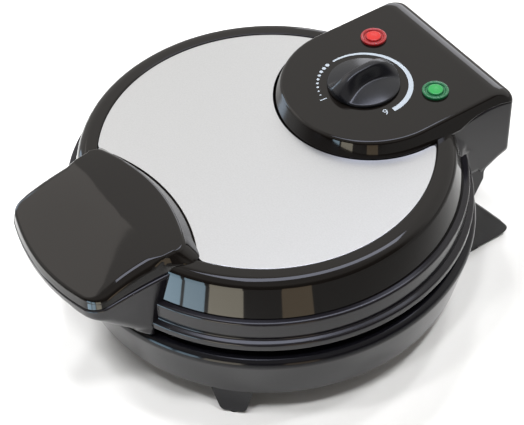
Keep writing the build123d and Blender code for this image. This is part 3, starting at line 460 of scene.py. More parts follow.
# %% [markdown]
# ## Skins from arrays
# Every new piece is a grid of points: one parameter runs along a profile, the other round
# an axis or a rim. Working the points out as whole arrays keeps curves exact, where an
# imported mesh would show its facets in the gloss.

# %% Mesh helpers
SHARP = 35      # degrees between faces, past which an edge is left sharp or bevelled


def grid_faces(rows, cols, wrap_rows, wrap_cols):
    """Index quads of a grid; a wrapped direction joins its last line to its first."""
    r = np.arange(rows if wrap_rows else rows - 1)[:, None]
    c = np.arange(cols if wrap_cols else cols - 1)[None, :]
    r2, c2 = (r + 1) % rows, (c + 1) % cols
    quads = np.stack([r * cols + c, r * cols + c2, r2 * cols + c2, r2 * cols + c], axis=-1)
    return quads.reshape(-1, 4)


def close_up(mesh):
    """Merges points that lie together, drops slivers and turns all faces outwards."""
    bm = bmesh.new()
    bm.from_mesh(mesh)
    bmesh.ops.remove_doubles(bm, verts=bm.verts, dist=2e-6)
    bmesh.ops.dissolve_degenerate(bm, edges=bm.edges, dist=1e-6)
    bmesh.ops.recalc_face_normals(bm, faces=bm.faces)
    bm.to_mesh(mesh)
    bm.free()


def make_piece(name, points, faces, body, material, sharp=SHARP, wall=0.0, bevel=0.0):
    """Mesh from millimetre points about the round body's axis. It is closed up, then a wall
    that grows inwards, a bevel and weighted normals finish it, as modifiers."""
    co = np.asarray(points, float).reshape(-1, 3) + (0, SHIFT, 0)
    mesh = bpy.data.meshes.new(name)
    mesh.from_pydata((co / 1000).tolist(), [], [list(f) for f in faces])
    close_up(mesh)
    mesh.shade_smooth()
    mesh.set_sharp_from_angle(angle=math.radians(sharp))
    mesh.materials.append(material)
    obj = bpy.data.objects.new(name, mesh)
    bpy.context.scene.collection.objects.link(obj)
    if wall:
        shell = obj.modifiers.new("wall", "SOLIDIFY")
        shell.thickness, shell.offset = wall / 1000, -1
    if bevel:
        edge = obj.modifiers.new("edge", "BEVEL")
        edge.width, edge.segments, edge.limit_method = bevel / 1000, 3, "ANGLE"
        edge.angle_limit = math.radians(SHARP)
        edge.harden_normals = True
    weight = obj.modifiers.new("normals", "WEIGHTED_NORMAL")
    weight.keep_sharp = True
    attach(obj, body)
    return obj


print("faces of a 3 by 4 ring of points:", len(grid_faces(3, 4, False, True)))

# %% [markdown]
# ## Soft corners and turned forms
# Every edge of a moulding has a radius, so an outline is written as its sharp corners, which
# one function then softens. A round moulding is such an outline carried round an axis, the
# way its mould was turned on a lathe.

# %% Outlines and turned forms


def soft_corners(corners, cut, steps=7):
    """Closed outline with rounded corners. Each corner c becomes the quadratic curve
    (1-t)^2 a + 2t(1-t) c + t^2 b, with a and b lying cut before and after the corner."""
    c = np.asarray(corners, float)
    reach = np.broadcast_to(np.asarray(cut, float), (len(c),))[:, None]
    before, after = np.roll(c, 1, axis=0) - c, np.roll(c, -1, axis=0) - c
    a = c + before / np.linalg.norm(before, axis=1, keepdims=True) * reach
    b = c + after / np.linalg.norm(after, axis=1, keepdims=True) * reach
    t = np.linspace(0, 1, steps)[None, :, None]
    curve = (1 - t) ** 2 * a[:, None] + 2 * t * (1 - t) * c[:, None] + t ** 2 * b[:, None]
    return curve.reshape(-1, c.shape[1])


def turned(name, profile, body, material, centre=(0, 0), segments=180, wrap=True, **extra):
    """Surface of revolution: profile points (r, z) carried round the vertical axis as
    (r cos a, r sin a, z) about a centre."""
    p = np.asarray(profile, float)
    a = np.linspace(0, 2 * np.pi, segments, endpoint=False)
    x = p[:, :1] * np.cos(a) + centre[0]
    y = p[:, :1] * np.sin(a) + centre[1]
    points = np.stack([x, y, np.broadcast_to(p[:, 1:], x.shape)], axis=-1)
    return make_piece(name, points, grid_faces(len(p), segments, wrap, True), body, material,
                      **extra)


print("softened square:", len(soft_corners([(0, 0), (1, 0), (1, 1), (0, 1)], 0.2)), "points")

# %% [markdown]
# ## The lid's ring
# The glossy ring round the steel plate rolls over a soft shoulder into a steep wall. It is
# a turned form, so its profile is drawn once and carried round the axis.

# %% Lid ring and wall
RING = soft_corners([(60, 100), (95.5, 100), (95.5, 101.5), (105.8, 101.5), (111.9, 79.55),
                     (109.4, 79.55), (104.4, 97.5), (60, 97.5)],
                    [0.2, 0.2, 1.0, 5.6, 0.5, 0.2, 1.0, 0.2], steps=11)
cover_ring = turned("lid_cover_ring", RING, "lid", gloss_abs, segments=256)
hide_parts("lid_cover")
print("ring profile points:", len(RING))

# %% [markdown]
# ## Steel plate
# A pressed stainless disc lies in the ring's recess. One arc is cut away for the handle and
# one bay for the panel, and its four outer corners are rounded. The outline is worked out
# from the circles that meet, then each corner is swapped for a quadratic curve.

# %% Flat plates and arcs
LEVEL = {"u": (1, 0, 0), "v": (0, 1, 0)}    # directions of an outline drawn from above


def slab(name, outline, low, high, body, material, u=(0, 1, 0), v=(0, 0, 1), bevel=0.6,
         **extra):
    """Flat plate: a closed outline drawn on two directions u and v, carried from low to high
    along the third, which is u cross v."""
    o, u, v = np.asarray(outline, float), np.array(u, float), np.array(v, float)
    n = len(o)
    flat = o[:, :1] * u + o[:, 1:] * v
    points = np.stack([flat + low * np.cross(u, v), flat + high * np.cross(u, v)])
    faces = grid_faces(2, n, False, True).tolist()
    faces += [list(range(n))[::-1], list(range(n, 2 * n))]
    return make_piece(name, points, faces, body, material, bevel=bevel, **extra)


def ring_points(centre, radius, first, last, count=14):
    """Points round a centre from one angle to another, in degrees: (r cos a, r sin a)."""
    a = np.radians(np.linspace(first, last, count))
    return np.stack([centre[0] + radius * np.cos(a), centre[1] + radius * np.sin(a)], axis=1)


print("points of a quarter circle:", len(ring_points((0, 0), 1, 0, 90)))

# %% [markdown]
# The disc is laid on the lid as a flat plate, less than a millimetre thick, with a fine
# bevel that catches the light as a stamped edge does.

# %% Steel plate
PLATE_R, BAY_R, BAY_Y, ARC_R, HANDLE_ARC_Y = 95.2, 55.6, 71.9, 104.7, -170.0
CORNER_REACH = 3.4


def round_at(outline, corners, reach):
    """Outline with its corners softened: points nearer than reach to a corner c give way to
    the quadratic curve (1-t)^2 a + 2t(1-t) c + t^2 b between the last point before it, a,
    and the first after it, b."""
    t = np.linspace(0, 1, 9)[:, None]
    for c in corners:
        away = np.linalg.norm(outline - c, axis=1)
        outline = np.roll(outline, -int(np.argmin(away)), axis=0)
        away = np.linalg.norm(outline - c, axis=1)
        kept = outline[away > reach]
        a, b = kept[-1], kept[0]
        curve = (1 - t) ** 2 * a + 2 * t * (1 - t) * np.asarray(c) + t ** 2 * b
        outline = np.concatenate([curve[1:-1], kept])
    return outline


def plate_outline():
    """Disc's two side arcs, joined by the handle's arc in front and the bay at the rear."""
    bay_meet = math.sqrt(PLATE_R ** 2 - BAY_R ** 2)
    y_meet = (PLATE_R ** 2 - ARC_R ** 2 + HANDLE_ARC_Y ** 2) / (2 * HANDLE_ARC_Y)
    x_meet = math.sqrt(PLATE_R ** 2 - y_meet ** 2)
    front, rear = np.degrees(np.arctan2([y_meet, bay_meet], [x_meet, BAY_R]))
    side = ring_points((0, 0), PLATE_R, front, rear, 90)
    bay = ring_points((0, BAY_Y), BAY_R, 0, -180, 90)
    left = side[::-1] * (-1, 1)
    edge = math.degrees(math.atan2(y_meet - HANDLE_ARC_Y, x_meet))
    arc = ring_points((0, HANDLE_ARC_Y), ARC_R, 180 - edge, edge, 70)[1:-1]
    outline = np.concatenate([side, bay, left, arc])
    corners = [(x_meet, y_meet), (BAY_R, bay_meet), (-BAY_R, bay_meet), (-x_meet, y_meet)]
    return round_at(outline, corners, CORNER_REACH)


PLATE, PLATE_LOW, PLATE_HIGH = plate_outline(), 100.05, 100.95
steel_plate = slab("steel_plate", PLATE, PLATE_LOW, PLATE_HIGH, "lid", satin_steel,
                   bevel=0.3, **LEVEL)
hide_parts("top_plate")
print("plate outline points:", len(PLATE))

# %% [markdown]
# ## Control panel
# The panel is a stack of rims: a round front end runs into straight sides, each rim a
# little smaller than the one below. The top edge is a small round at the front and sides
# and a long soft roll at the rear, and the lower edge arches over the hinge tower.

# %% Panel's base rim
ARC_Y, REAR_Y, LOW_HALF, REAR_CORNER = 71.9, 137.0, 55.0, 6.0


def rim_parameters(count):
    """Base rim of the panel as points (x, y), counted from the rear middle: half the rear
    edge, a corner, a side, the round front and back again, evenly spaced on each stretch."""
    a = np.linspace(0, np.pi, count)
    front = np.stack([LOW_HALF * np.cos(a), ARC_Y - LOW_HALF * np.sin(a)], axis=1)
    side_y = np.linspace(REAR_Y - REAR_CORNER, ARC_Y, count // 2, endpoint=False)
    right_side = np.stack([np.full_like(side_y, LOW_HALF), side_y], axis=1)
    b = np.linspace(np.pi / 2, 0, 12, endpoint=False)
    turn_in = np.stack([LOW_HALF - REAR_CORNER + REAR_CORNER * np.cos(b),
                        REAR_Y - REAR_CORNER + REAR_CORNER * np.sin(b)], axis=1)
    rear_x = np.linspace(0, LOW_HALF - REAR_CORNER, 14, endpoint=False)
    rear = np.stack([rear_x, np.full_like(rear_x, REAR_Y)], axis=1)
    half = np.concatenate([rear, turn_in, right_side])
    mirror = half[::-1] * (-1, 1)
    return np.concatenate([half, front, mirror[:-1]])


BASE_RIM = rim_parameters(96)
print("base rim points:", len(BASE_RIM))

# %% [markdown]
# The rims stack up from the arched skirt: straight walls first, then the roll and the edge,
# then a few ever smaller rims that close the flat top. Where wall and top meet, the rims lie
# close together, so the gloss bends smoothly.

# %% Control panel
TOP_HALF, PANEL_Z, PLATE_Z, WALL_Z = 51.0, 110.3, 100.0, 104.6
SKIRT_Y, SKIRT_RISE, ROLL_Y, ROLL_Z, EDGE = 96.0, 4.2, 15.0, 9.3, 1.5
PANEL_WALL = 2.4


def skirt_z(y):
    """Height of the arched lower edge: a circle through both ends, rising in the middle."""
    mid, span = (SKIRT_Y + REAR_Y) / 2, (REAR_Y - SKIRT_Y) / 2
    radius = (span ** 2 + SKIRT_RISE ** 2) / (2 * SKIRT_RISE)
    d = np.clip(np.abs(y - mid), 0, span)
    arch = PLATE_Z + SKIRT_RISE - radius + np.sqrt(radius ** 2 - d ** 2)
    return np.where(y > SKIRT_Y, arch, PLATE_Z)


def panel_rims(base):
    """Each rim is the base rim drawn in: the half width follows the taper and the edge's
    quarter round, the rear edge a quarter ellipse, and the last rims close the top."""
    share = np.linspace(0, 1, 6)[:, None]
    z = skirt_z(base[:, 1])[None] * (1 - share) + WALL_Z * share
    roll = PANEL_Z - ROLL_Z + ROLL_Z * np.sin(np.radians(np.linspace(25, 57, 9)))
    edge = PANEL_Z - EDGE + EDGE * np.sin(np.radians(np.linspace(0, 90, 14)))
    z = np.concatenate([z, np.concatenate([roll, edge])[:, None] * np.ones(len(base))])
    half = LOW_HALF + (TOP_HALF - LOW_HALF) * (z - PLATE_Z) / (PANEL_Z - PLATE_Z)
    over = np.clip(z - (PANEL_Z - EDGE), 0, EDGE)
    half = half - (EDGE - np.sqrt(EDGE ** 2 - over ** 2))
    lift = np.clip(z - (PANEL_Z - ROLL_Z), 0, ROLL_Z) / ROLL_Z
    rear = REAR_Y - ROLL_Y * (1 - np.sqrt(1 - lift ** 2))
    x = base[:, 0] * half / LOW_HALF
    y = np.where(base[:, 1] < ARC_Y, ARC_Y + (base[:, 1] - ARC_Y) * half / LOW_HALF,
                 ARC_Y + (base[:, 1] - ARC_Y) * (rear - ARC_Y) / (REAR_Y - ARC_Y))
    rims = np.stack([x, y, z], axis=-1)
    centre = np.array([0, 85.0, PANEL_Z])
    shrink = np.array([0.97, 0.7, 0.35, 0.0])[:, None, None]
    top = centre + (rims[-1] - centre) * shrink
    return np.concatenate([rims, top])


PANEL = panel_rims(BASE_RIM)
make_piece("control_panel", PANEL, grid_faces(*PANEL.shape[:2], False, True), "lid",
           gloss_abs, wall=PANEL_WALL, sharp=50)
print("panel rims:", PANEL.shape)

# %% [markdown]
# ## Handle
# Seen from above the handle is a shield: two nearly straight sides, a shallow arc at the
# tip and an arc where it meets the steel. Its top sweeps down to the tip in one curve. Two
# curves seen from the side rule it: the seam against the housing and the crest. A spline
# takes each one smoothly through a few measured points.

# %% Handle's side curves


def spline(x, y, first, last):
    """Smooth curve y(x) through points, with given slopes at the ends: the slopes between
    come from equal second derivatives on both sides, then Hermite cubics are read off."""
    x, y = np.asarray(x, float), np.asarray(y, float)
    h, d = np.diff(x), np.diff(y) / np.diff(x)
    n = len(x)
    matrix, rhs = np.eye(n), np.zeros(n)
    rhs[0], rhs[-1] = first, last
    inner = np.arange(1, n - 1)
    matrix[inner, inner - 1] = h[1:]
    matrix[inner, inner] = 2 * (h[:-1] + h[1:])
    matrix[inner, inner + 1] = h[:-1]
    rhs[inner] = 3 * (h[1:] * d[:-1] + h[:-1] * d[1:])
    m = np.linalg.solve(matrix, rhs)

    def read(at):
        at = np.clip(np.asarray(at, float), x[0], x[-1])
        i = np.clip(np.searchsorted(x, at) - 1, 0, n - 2)
        s = (at - x[i]) / h[i]
        return ((1 + 2 * s) * (1 - s) ** 2 * y[i] + s * (1 - s) ** 2 * h[i] * m[i]
                + s * s * (3 - 2 * s) * y[i + 1] + s * s * (s - 1) * h[i] * m[i + 1])
    return read


SEAM = spline([-148.5, -124, -97, -55], [89.0, 94.3, 97.0, 97.0], 0.2917, 0.0)
CREST = spline([-148.5, -124, -97, -60], [94.0, 103.9, 108.9, 109.6], 0.4667, 0.0)
CROWN, TIP_X = 0.9, 47.0


def crest(x, y):
    """Height of the handle's top: the side curve, less a slight crown towards the sides."""
    return CREST(y) - CROWN * (np.abs(x) / TIP_X) ** 4


print("crest above the seam at mid handle:", round(float(crest(0, -106) - SEAM(-106)), 2))

# %% [markdown]
# One rim of the handle, seen from above, is walked piece by piece from the inner arc to the
# tip. Drawn in by an inset, the same walk gives the smaller rim at the top.

# %% Handle's outline
ROOT_Y, ROOT_HALF, SIDE_SLOPE, INNER_HALF = -55, 51.3, 0.0512, 50.3
HANDLE_REACH, TIP_R, TIP_CORNER, TIP_SET_BACK = 147.5, 135.0, 9.0, 8.5


def side_half(y):
    """Half width of the handle: 51.3 at its root, drawing in steadily towards the tip."""
    return ROOT_HALF - SIDE_SLOPE * (ROOT_Y - y)


def quadratic(a, c, b, count):
    """Curve from a to b drawn towards c: (1-t)^2 a + 2t(1-t) c + t^2 b, without its ends."""
    a, c, b = np.asarray(a), np.asarray(c), np.asarray(b)
    t = np.linspace(0, 1, count)[1:-1, None]
    return (1 - t) ** 2 * a + 2 * t * (1 - t) * c + t ** 2 * b


def handle_rim(inset, arc_radius, inner_corner):
    """Right half of the outline, drawn in by the inset, from the inner arc's middle round
    the inner corner, down the side and round the tip's corner to the tip's middle. The left
    half mirrors it."""
    inner, reach = INNER_HALF - inset, HANDLE_REACH - inset
    x = np.linspace(0, inner - inner_corner * 0.8, 26)
    arc = np.stack([x, HANDLE_ARC_Y + np.sqrt(arc_radius ** 2 - x ** 2)], axis=1)
    tangent = -arc[-1, 0] / math.sqrt(arc_radius ** 2 - arc[-1, 0] ** 2)
    turn = np.array([inner, arc[-1, 1] + tangent * (inner - arc[-1, 0])])
    side_first = turn - (0, inner_corner)
    side_y = np.linspace(side_first[1], -(reach - TIP_SET_BACK - TIP_CORNER), 30)
    side = np.stack([side_half(side_y) - inset, side_y], axis=1)
    x0 = side[-1, 0]
    tip_centre = TIP_R - reach
    x2 = x0 - TIP_CORNER
    tip_last = np.array([x2, tip_centre - math.sqrt(TIP_R ** 2 - x2 ** 2)])
    tip_turn = np.array([x0 - SIDE_SLOPE * TIP_CORNER,
                         tip_centre - math.sqrt(TIP_R ** 2 - x0 ** 2)])
    t = np.linspace(x2, 0, 20)
    tip_arc = np.stack([t, tip_centre - np.sqrt(TIP_R ** 2 - t ** 2)], axis=1)
    half = np.concatenate([arc, quadratic(arc[-1], turn, side_first, 13), side,
                           quadratic(side[-1], tip_turn, tip_last, 13), tip_arc])
    return np.concatenate([half, half[::-1][1:-1] * (-1, 1)])


LOW_RIM, HIGH_RIM = handle_rim(0.0, 112.6, 3.0), handle_rim(3.6, 97.4, 6.0)
print("handle rim points:", len(LOW_RIM))

# %% [markdown]
# The rims between these two are stacked from the seam to the crest. The upper edge is tight
# along both arcs and soft along the sides, where light gathers in a crease, and the foot
# spreads where the handle stands on the ring.

# %% Handle's top
RING_TOP, LEAN_Z, LEAN_RISE = 101.5, 89.0, 20.7
TOP_MIDDLE = np.array([0.0, -106.0])


def root_flare(flat, z):
    """Points with their sides pushed out where the handle stands on the ring: 5 mm at the
    ring's top, fading over 6.5 mm of height either way and from y -86 to -97."""
    share = np.clip(1 - np.abs(z - RING_TOP) / 6.5, 0, 1)
    share = share * np.clip((flat[:, 1] + 97) / 11, 0, 1)
    side = np.clip((np.abs(flat[:, 0]) - 38) / 8, 0, 1)
    return flat + np.column_stack([5 * share * side * np.sign(flat[:, 0]), 0 * z])


def inward(outline):
    """Unit normals of a closed outline that point inside: the tangent turned a quarter."""
    along = np.roll(outline, -1, axis=0) - np.roll(outline, 1, axis=0)
    normal = np.stack([along[:, 1], -along[:, 0]], axis=1)
    return normal / np.linalg.norm(normal, axis=1, keepdims=True)


def leaning(z):
    """Rim at a height for each point: from the low rim at 89 mm it leans towards the high
    rim, which it would reach 20.7 mm further up."""
    lean = ((z - LEAN_Z) / LEAN_RISE)[:, None]
    return root_flare(LOW_RIM * (1 - lean) + HIGH_RIM * lean, z)


def handle_rims():
    """Stack of rims from the seam to the crest. The wall leans in with height, the edge is
    a quarter round whose radius grows from the arcs to the sides, and the last rims shrink
    along the crest to a point."""
    low = LOW_RIM
    sideways = np.clip((np.abs(low[:, 0]) - 38) / 9, 0, 1)
    along = np.clip((-83 - low[:, 1]) / 12, 0, 1) * np.clip((low[:, 1] + 143) / 10, 0, 1)
    edge = 1.3 + 3.4 * sideways * along
    rows = []
    for k in np.linspace(0, 1, 10):
        z = SEAM(low[:, 1]) * (1 - k) + (crest(*low.T) - edge) * k
        rows.append(np.column_stack([leaning(z), z]))
    start, pull = rows[-1], inward(low)
    for a in np.radians(np.linspace(8, 90, 11)):
        flat = leaning(start[:, 2] + edge * np.sin(a))
        flat = flat + pull * (edge * (1 - np.cos(a)))[:, None]
        rows.append(np.column_stack([flat, crest(*flat.T) - edge * (1 - np.sin(a))]))
    last = rows[-1][:, :2]
    for k in (0.95, 0.86, 0.72, 0.5, 0.25, 0.0):
        flat = TOP_MIDDLE + (last - TOP_MIDDLE) * k
        rows.append(np.column_stack([flat, crest(*flat.T)]))
    return np.array(rows)


HANDLE = handle_rims()
make_piece("handle_top", HANDLE, grid_faces(*HANDLE.shape[:2], False, True), "lid",
           gloss_abs, wall=PANEL_WALL, sharp=60)
print("handle rims:", HANDLE.shape)

# %% [markdown]
# ## Lid housing
# The dark grey moulding under the glossy cover has three parts. The flange carries the
# steep wall and ends in a bead over the base's rim. The wedge fills the space under the
# handle. The tower stands behind, square and hollow, and hides the hinge.

# %% Flange with its bead
FLANGE = soft_corners([(97, 79.5), (115.3, 79.5), (115.3, 67.2), (118.5, 66), (118.5, 61),
                       (112.8, 61), (112.8, 77), (97, 77)],
                      [0.3, 1.7, 0.8, 1.2, 1.6, 0.4, 0.2, 0.2], steps=8)
flange = turned("housing_flange", FLANGE, "lid", grey_abs, segments=256)
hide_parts("lid_housing")
print("flange profile points:", len(FLANGE))

# %% [markdown]
# ## Wedge under the handle
# From the lid's lip a cone leans out to the handle's tip, cut off by two flat sides. Each
# rim is level: it runs along one side, turns a soft corner into the circle that the cone
# has at that height, and comes back along the other side.

# %% Wedge's rim
WEDGE_FOOT_Z, WEDGE_FOOT_R, WEDGE_TIP_Z, WEDGE_TIP_R = 57.0, 120.5, 85.0, 147.3
WEDGE_CORNER, ROOT_X, FRONT_X = 8.5, 50.0, 48.0
LID_WALL = ([57, 61, 62, 78, 79.5, 101], [118.4, 118.4, 113.4, 113.4, 111.2, 105.4])


def cone_radius(z):
    """Radius of the leaning front at a height, a straight line from foot to tip."""
    lean = (WEDGE_TIP_R - WEDGE_FOOT_R) / (WEDGE_TIP_Z - WEDGE_FOOT_Z)
    return np.minimum(WEDGE_FOOT_R + lean * (z - WEDGE_FOOT_Z), 200.0)


def tip_line(x):
    """The handle's tip arc: its y at each x."""
    return TIP_R - HANDLE_REACH - np.sqrt(TIP_R ** 2 - x ** 2)


def wedge_half(z, count=20):
    """Right half of one rim at each height z: side from the lid's wall, corner, front."""
    root_r, front_r = np.interp(z, *LID_WALL), cone_radius(z)
    root_y = -np.sqrt(root_r ** 2 - ROOT_X ** 2)
    end_y = np.maximum(-np.sqrt(front_r ** 2 - FRONT_X ** 2), tip_line(TIP_X))
    corner = np.minimum(WEDGE_CORNER, 0.6 * (root_y - end_y))
    s = np.linspace(0, 1, count)
    y = root_y[:, None] + (end_y + corner - root_y)[:, None] * s
    x = side_half(y)
    side = np.stack([x, y], axis=-1)
    x2 = x[:, -1] - corner
    arc_y = np.maximum(-np.sqrt(front_r ** 2 - x2 ** 2), tip_line(x2))
    b = np.stack([x2, arc_y], axis=-1)
    a = side[:, -1]
    c = np.stack([a[:, 0] - 0.05 * corner, end_y + 0.1 * corner], axis=-1)
    t = np.linspace(0, 1, 12)[1:, None]
    turn = ((1 - t) ** 2)[None] * a[:, None] + (2 * t * (1 - t))[None] * c[:, None] \
        + (t ** 2)[None] * b[:, None]
    fx = x2[:, None] * np.linspace(1, 0, 24)[None, 1:]
    cone_y = -np.sqrt(front_r[:, None] ** 2 - fx ** 2)
    front = np.stack([fx, np.maximum(cone_y, tip_line(fx))], axis=-1)
    return np.concatenate([side, turn, front], axis=1)


HALF_COUNT = wedge_half(np.array([WEDGE_FOOT_Z])).shape[1]
print("points in half a wedge rim:", HALF_COUNT)

# %% [markdown]
# The wedge's top rim follows the seam under the handle, with a gap of 0.3 mm that shows as a
# fine dark line, as where two mouldings meet.

# %% Wedge
SEAM_GAP, FIRST_GUESS_Z, HOUSING_WALL = 0.3, 90, 2.3


def wedge_rims(rows=26):
    """Rims from the foot to the seam. The seam's height depends on how far forward a point
    lies, so each point's height is found by going back and forth a few times."""
    share, count = np.linspace(0, 1, rows)[:, None], HALF_COUNT
    z = WEDGE_FOOT_Z + share * (FIRST_GUESS_Z - WEDGE_FOOT_Z) * np.ones((1, count))
    for _ in range(12):
        flat = np.stack([wedge_half(z[:, j])[:, j] for j in range(count)], axis=1)
        z = WEDGE_FOOT_Z + share * (SEAM(flat[:, :, 1]) - SEAM_GAP - WEDGE_FOOT_Z)
    half = np.concatenate([flat, z[:, :, None]], axis=-1)
    return np.concatenate([half, half[:, ::-1][:, 1:] * (-1, 1, 1)], axis=1)


WEDGE = wedge_rims()
make_piece("handle_wedge", WEDGE, grid_faces(*WEDGE.shape[:2], False, False), "lid",
           grey_abs, wall=HOUSING_WALL, sharp=50)
print("wedge rims:", WEDGE.shape)

# %% [markdown]
# ## Hinge tower
# The tower is a box seen from above, open below and closed above by the panel's skirt. Its
# lower edge steps up towards the rear, to swing clear of the base, and at the front each
# side flares out to meet the round wall.

# %% Tower
TOWER_HALF, TOWER_CORNER, TOWER_FRONT = 53.5, 4.0, 92


def tower_low(y):
    """Height of the tower's lower edge along the side, a run of straight pieces."""
    return np.interp(y, [92, 108, 111, 126, 137], [57.5, 57.5, 54.0, 60.5, 63.5])


def tower_rims(rows=22):
    """Rims from the lower edge to the skirt's seam, each walked from the right front end
    along the side and round the rear. Where a side nears the round wall it flares out by
    0.7 mm for each millimetre past a slanting line."""
    share = np.linspace(0, 1, rows)[:, None]
    side_s = np.linspace(0, 1, 34)
    b = np.linspace(0, np.pi / 2, 9)[1:]
    rear_x = np.linspace(TOWER_HALF - TOWER_CORNER, 0, 12)[1:]
    last_y = REAR_Y - TOWER_CORNER
    y = np.concatenate([TOWER_FRONT + (last_y - TOWER_FRONT) * side_s,
                        last_y + TOWER_CORNER * np.sin(b), np.full(len(rear_x), REAR_Y)])
    x = np.concatenate([np.full(len(side_s), TOWER_HALF),
                        TOWER_HALF - TOWER_CORNER * (1 - np.cos(b)), rear_x])
    low, high = tower_low(y), skirt_z(y) - SEAM_GAP
    z = low + (high - low) * share
    first = np.interp(z, [54, 78, 79.5, 101], [99.8, 99.8, 92, 90])
    along = (y - TOWER_FRONT) / (last_y - TOWER_FRONT)
    y = np.where(y < last_y, first + along * (last_y - first), y)
    line = np.interp(z, [54, 63.6, 83.5, 100], [107.0, 105.5, 101.7, 88.9])
    flare = 0.7 * np.clip(line - y, 0, 6) * (z > 60)
    half = np.stack([x + flare, y, z], axis=-1)
    return np.concatenate([half, half[:, ::-1][:, 1:] * (-1, 1, 1)], axis=1)


TOWER = tower_rims()
make_piece("hinge_tower", TOWER, grid_faces(*TOWER.shape[:2], False, False), "lid",
           grey_abs, wall=HOUSING_WALL, sharp=30)
print("tower rims:", TOWER.shape)

# %% [markdown]
# ## Lugs
# Two lugs hang inside the tower and turn on the hinge pins. Their lower ends are round about
# the pin, so they clear the base at every angle.

# %% Lugs
PIN, EYE_R, LUG_NEAR, LUG_FAR = (122, 60), 6, 29, 38.6


def pair(name, outline, near, far, body, material, **extra):
    """The same plate on both sides, from near to far millimetres off the middle."""
    return [slab(f"{name}_{side}", outline, low, high, body, material, **extra)
            for side, low, high in (("left", -far, -near), ("right", near, far))]


LUG = np.concatenate([[(109, 70), (109, 84), (134.5, 84), (134.5, 70)],
                      ring_points(PIN, EYE_R, 0, -180)])
lugs = pair("hinge_lug", LUG, LUG_NEAR, LUG_FAR, "lid", grey_abs)
print("lugs:", len(lugs))

# %% [markdown]
# ## Base
# The base is one grey moulding: a wall that widens upwards, a full round rim and a collar
# inside it that holds the lower mould plate. It is turned like the lid's ring.

# %% Base wall
BASE = soft_corners([(110.8, 50), (110.8, 54.5), (115.0, 54.5), (120.4, 53.4), (120.5, 49),
                     (114, 20), (111.5, 20), (118, 50)],
                    [0.2, 0.5, 1.5, 3.8, 1.0, 0.6, 0.3, 0.3], steps=9)
base_wall = turned("base_wall", BASE, "base", base_abs, segments=256)
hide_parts("base_shell")
print("base profile points:", len(BASE))

# %% [markdown]
# ## Ears
# Two ears at the base's rear carry the hinge pins outside the lid's lugs. Each stands on a
# bracket whose heel stops the open lid.

# %% Ears
EAR_NEAR, EAR_FAR = 40, 49
EAR = np.concatenate([[(105, 27), (114.5, 27), (122.27, 42), (122.27, 47.5)],
                      ring_points(PIN, EYE_R, -45, 135),
                      [(110.5, 54.4), (105, 54.4)]])
ears = pair("hinge_ear", EAR, EAR_NEAR, EAR_FAR, "base", base_abs)
print("ears:", len(ears))

# %% [markdown]
# ## Feet
# The front feet are plain tapered tongues that hang from the base's edge. The rear legs are
# triangular fins: they reach back so that the open lid's weight doesn't tip the cooker.

# %% Front feet and rear legs
FOOT_REACH, FOOT_THICK, LEG_NEAR, LEG_FAR = 113.6, 6.5, 57, 63
FOOT = soft_corners([(-11.8, 20), (-7, 1.5), (7, 1.5), (11.8, 20)], [0.2, 3.2, 3.2, 0.2])
for angle, name in ((-45, "right"), (-135, "left")):
    out = (math.cos(math.radians(angle)), math.sin(math.radians(angle)), 0)
    foot = slab(f"front_foot_{name}", FOOT, FOOT_REACH - FOOT_THICK, FOOT_REACH, "base",
                base_abs, u=(-out[1], out[0], 0), v=(0, 0, 1), bevel=0.9)
    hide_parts("front_feet")

LEG = soft_corners([(98, 1.5), (98, 43), (104, 43), (136.2, 1.5)], [0.5, 0.5, 2.0, 10.0])
for leg in pair("rear_leg", LEG, LEG_NEAR, LEG_FAR, "base", foot_pp, bevel=0.9):
    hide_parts("rear_legs")
print("foot and leg outline points:", len(FOOT), len(LEG))

# %% [markdown]
# ## Knob
# The knob is a low disc with one bar across it to grip. Both flanks of the bar are hollowed
# in plan, so that finger and thumb find them, and its back is a dome. It is one height map:
# between the floor and the dome, each flank is a ruled slope with soft edges.

# %% Knob
KNOB_Y, KNOB_Z, KNOB_R, KNOB_TOP = 67.8, 110.8, 21.0, 13.0
GRIP_TURN, GRIP_HALF, FLANK_FOOT, FLANK_R = math.radians(2), 2.1, 4.8, 34.0


def soft_step(u, soft=0.14):
    """u held between 0 and 1, with both corners rounded: half of
    (1 + sqrt(u^2 + soft^2) - sqrt((u - 1)^2 + soft^2))."""
    return 0.5 * (1 + np.sqrt(u ** 2 + soft ** 2) - np.sqrt((u - 1) ** 2 + soft ** 2))


def knob_top(x, y):
    """Height of the knob, x across the bar and y along it. The dome falls from the middle
    by 7.5 times (r / 19.5) to the 3.2, the floor by 3.0 times (r / 21) squared. The flank
    rises from its foot at 4.8 mm plus the sag of a 34 mm circle to the bar's edge at
    2.1 mm plus a fifth of that sag. The rim drops by up to 0.6 mm over its last 0.8 mm."""
    r = np.hypot(x, y)
    dome = KNOB_TOP - 7.5 * (r / 19.5) ** 3.2
    floor_height = 4.4 - 3.0 * (r / KNOB_R) ** 2
    sag = FLANK_R - np.sqrt(FLANK_R ** 2 - y ** 2)
    foot, edge = FLANK_FOOT + sag, GRIP_HALF + sag / 5
    rise = soft_step((foot - np.abs(x)) / (foot - edge))
    height = floor_height + (dome - floor_height) * np.minimum(rise, 1)
    return height - 0.6 * np.clip((r - 20.2) / 0.8, 0, 1) ** 2


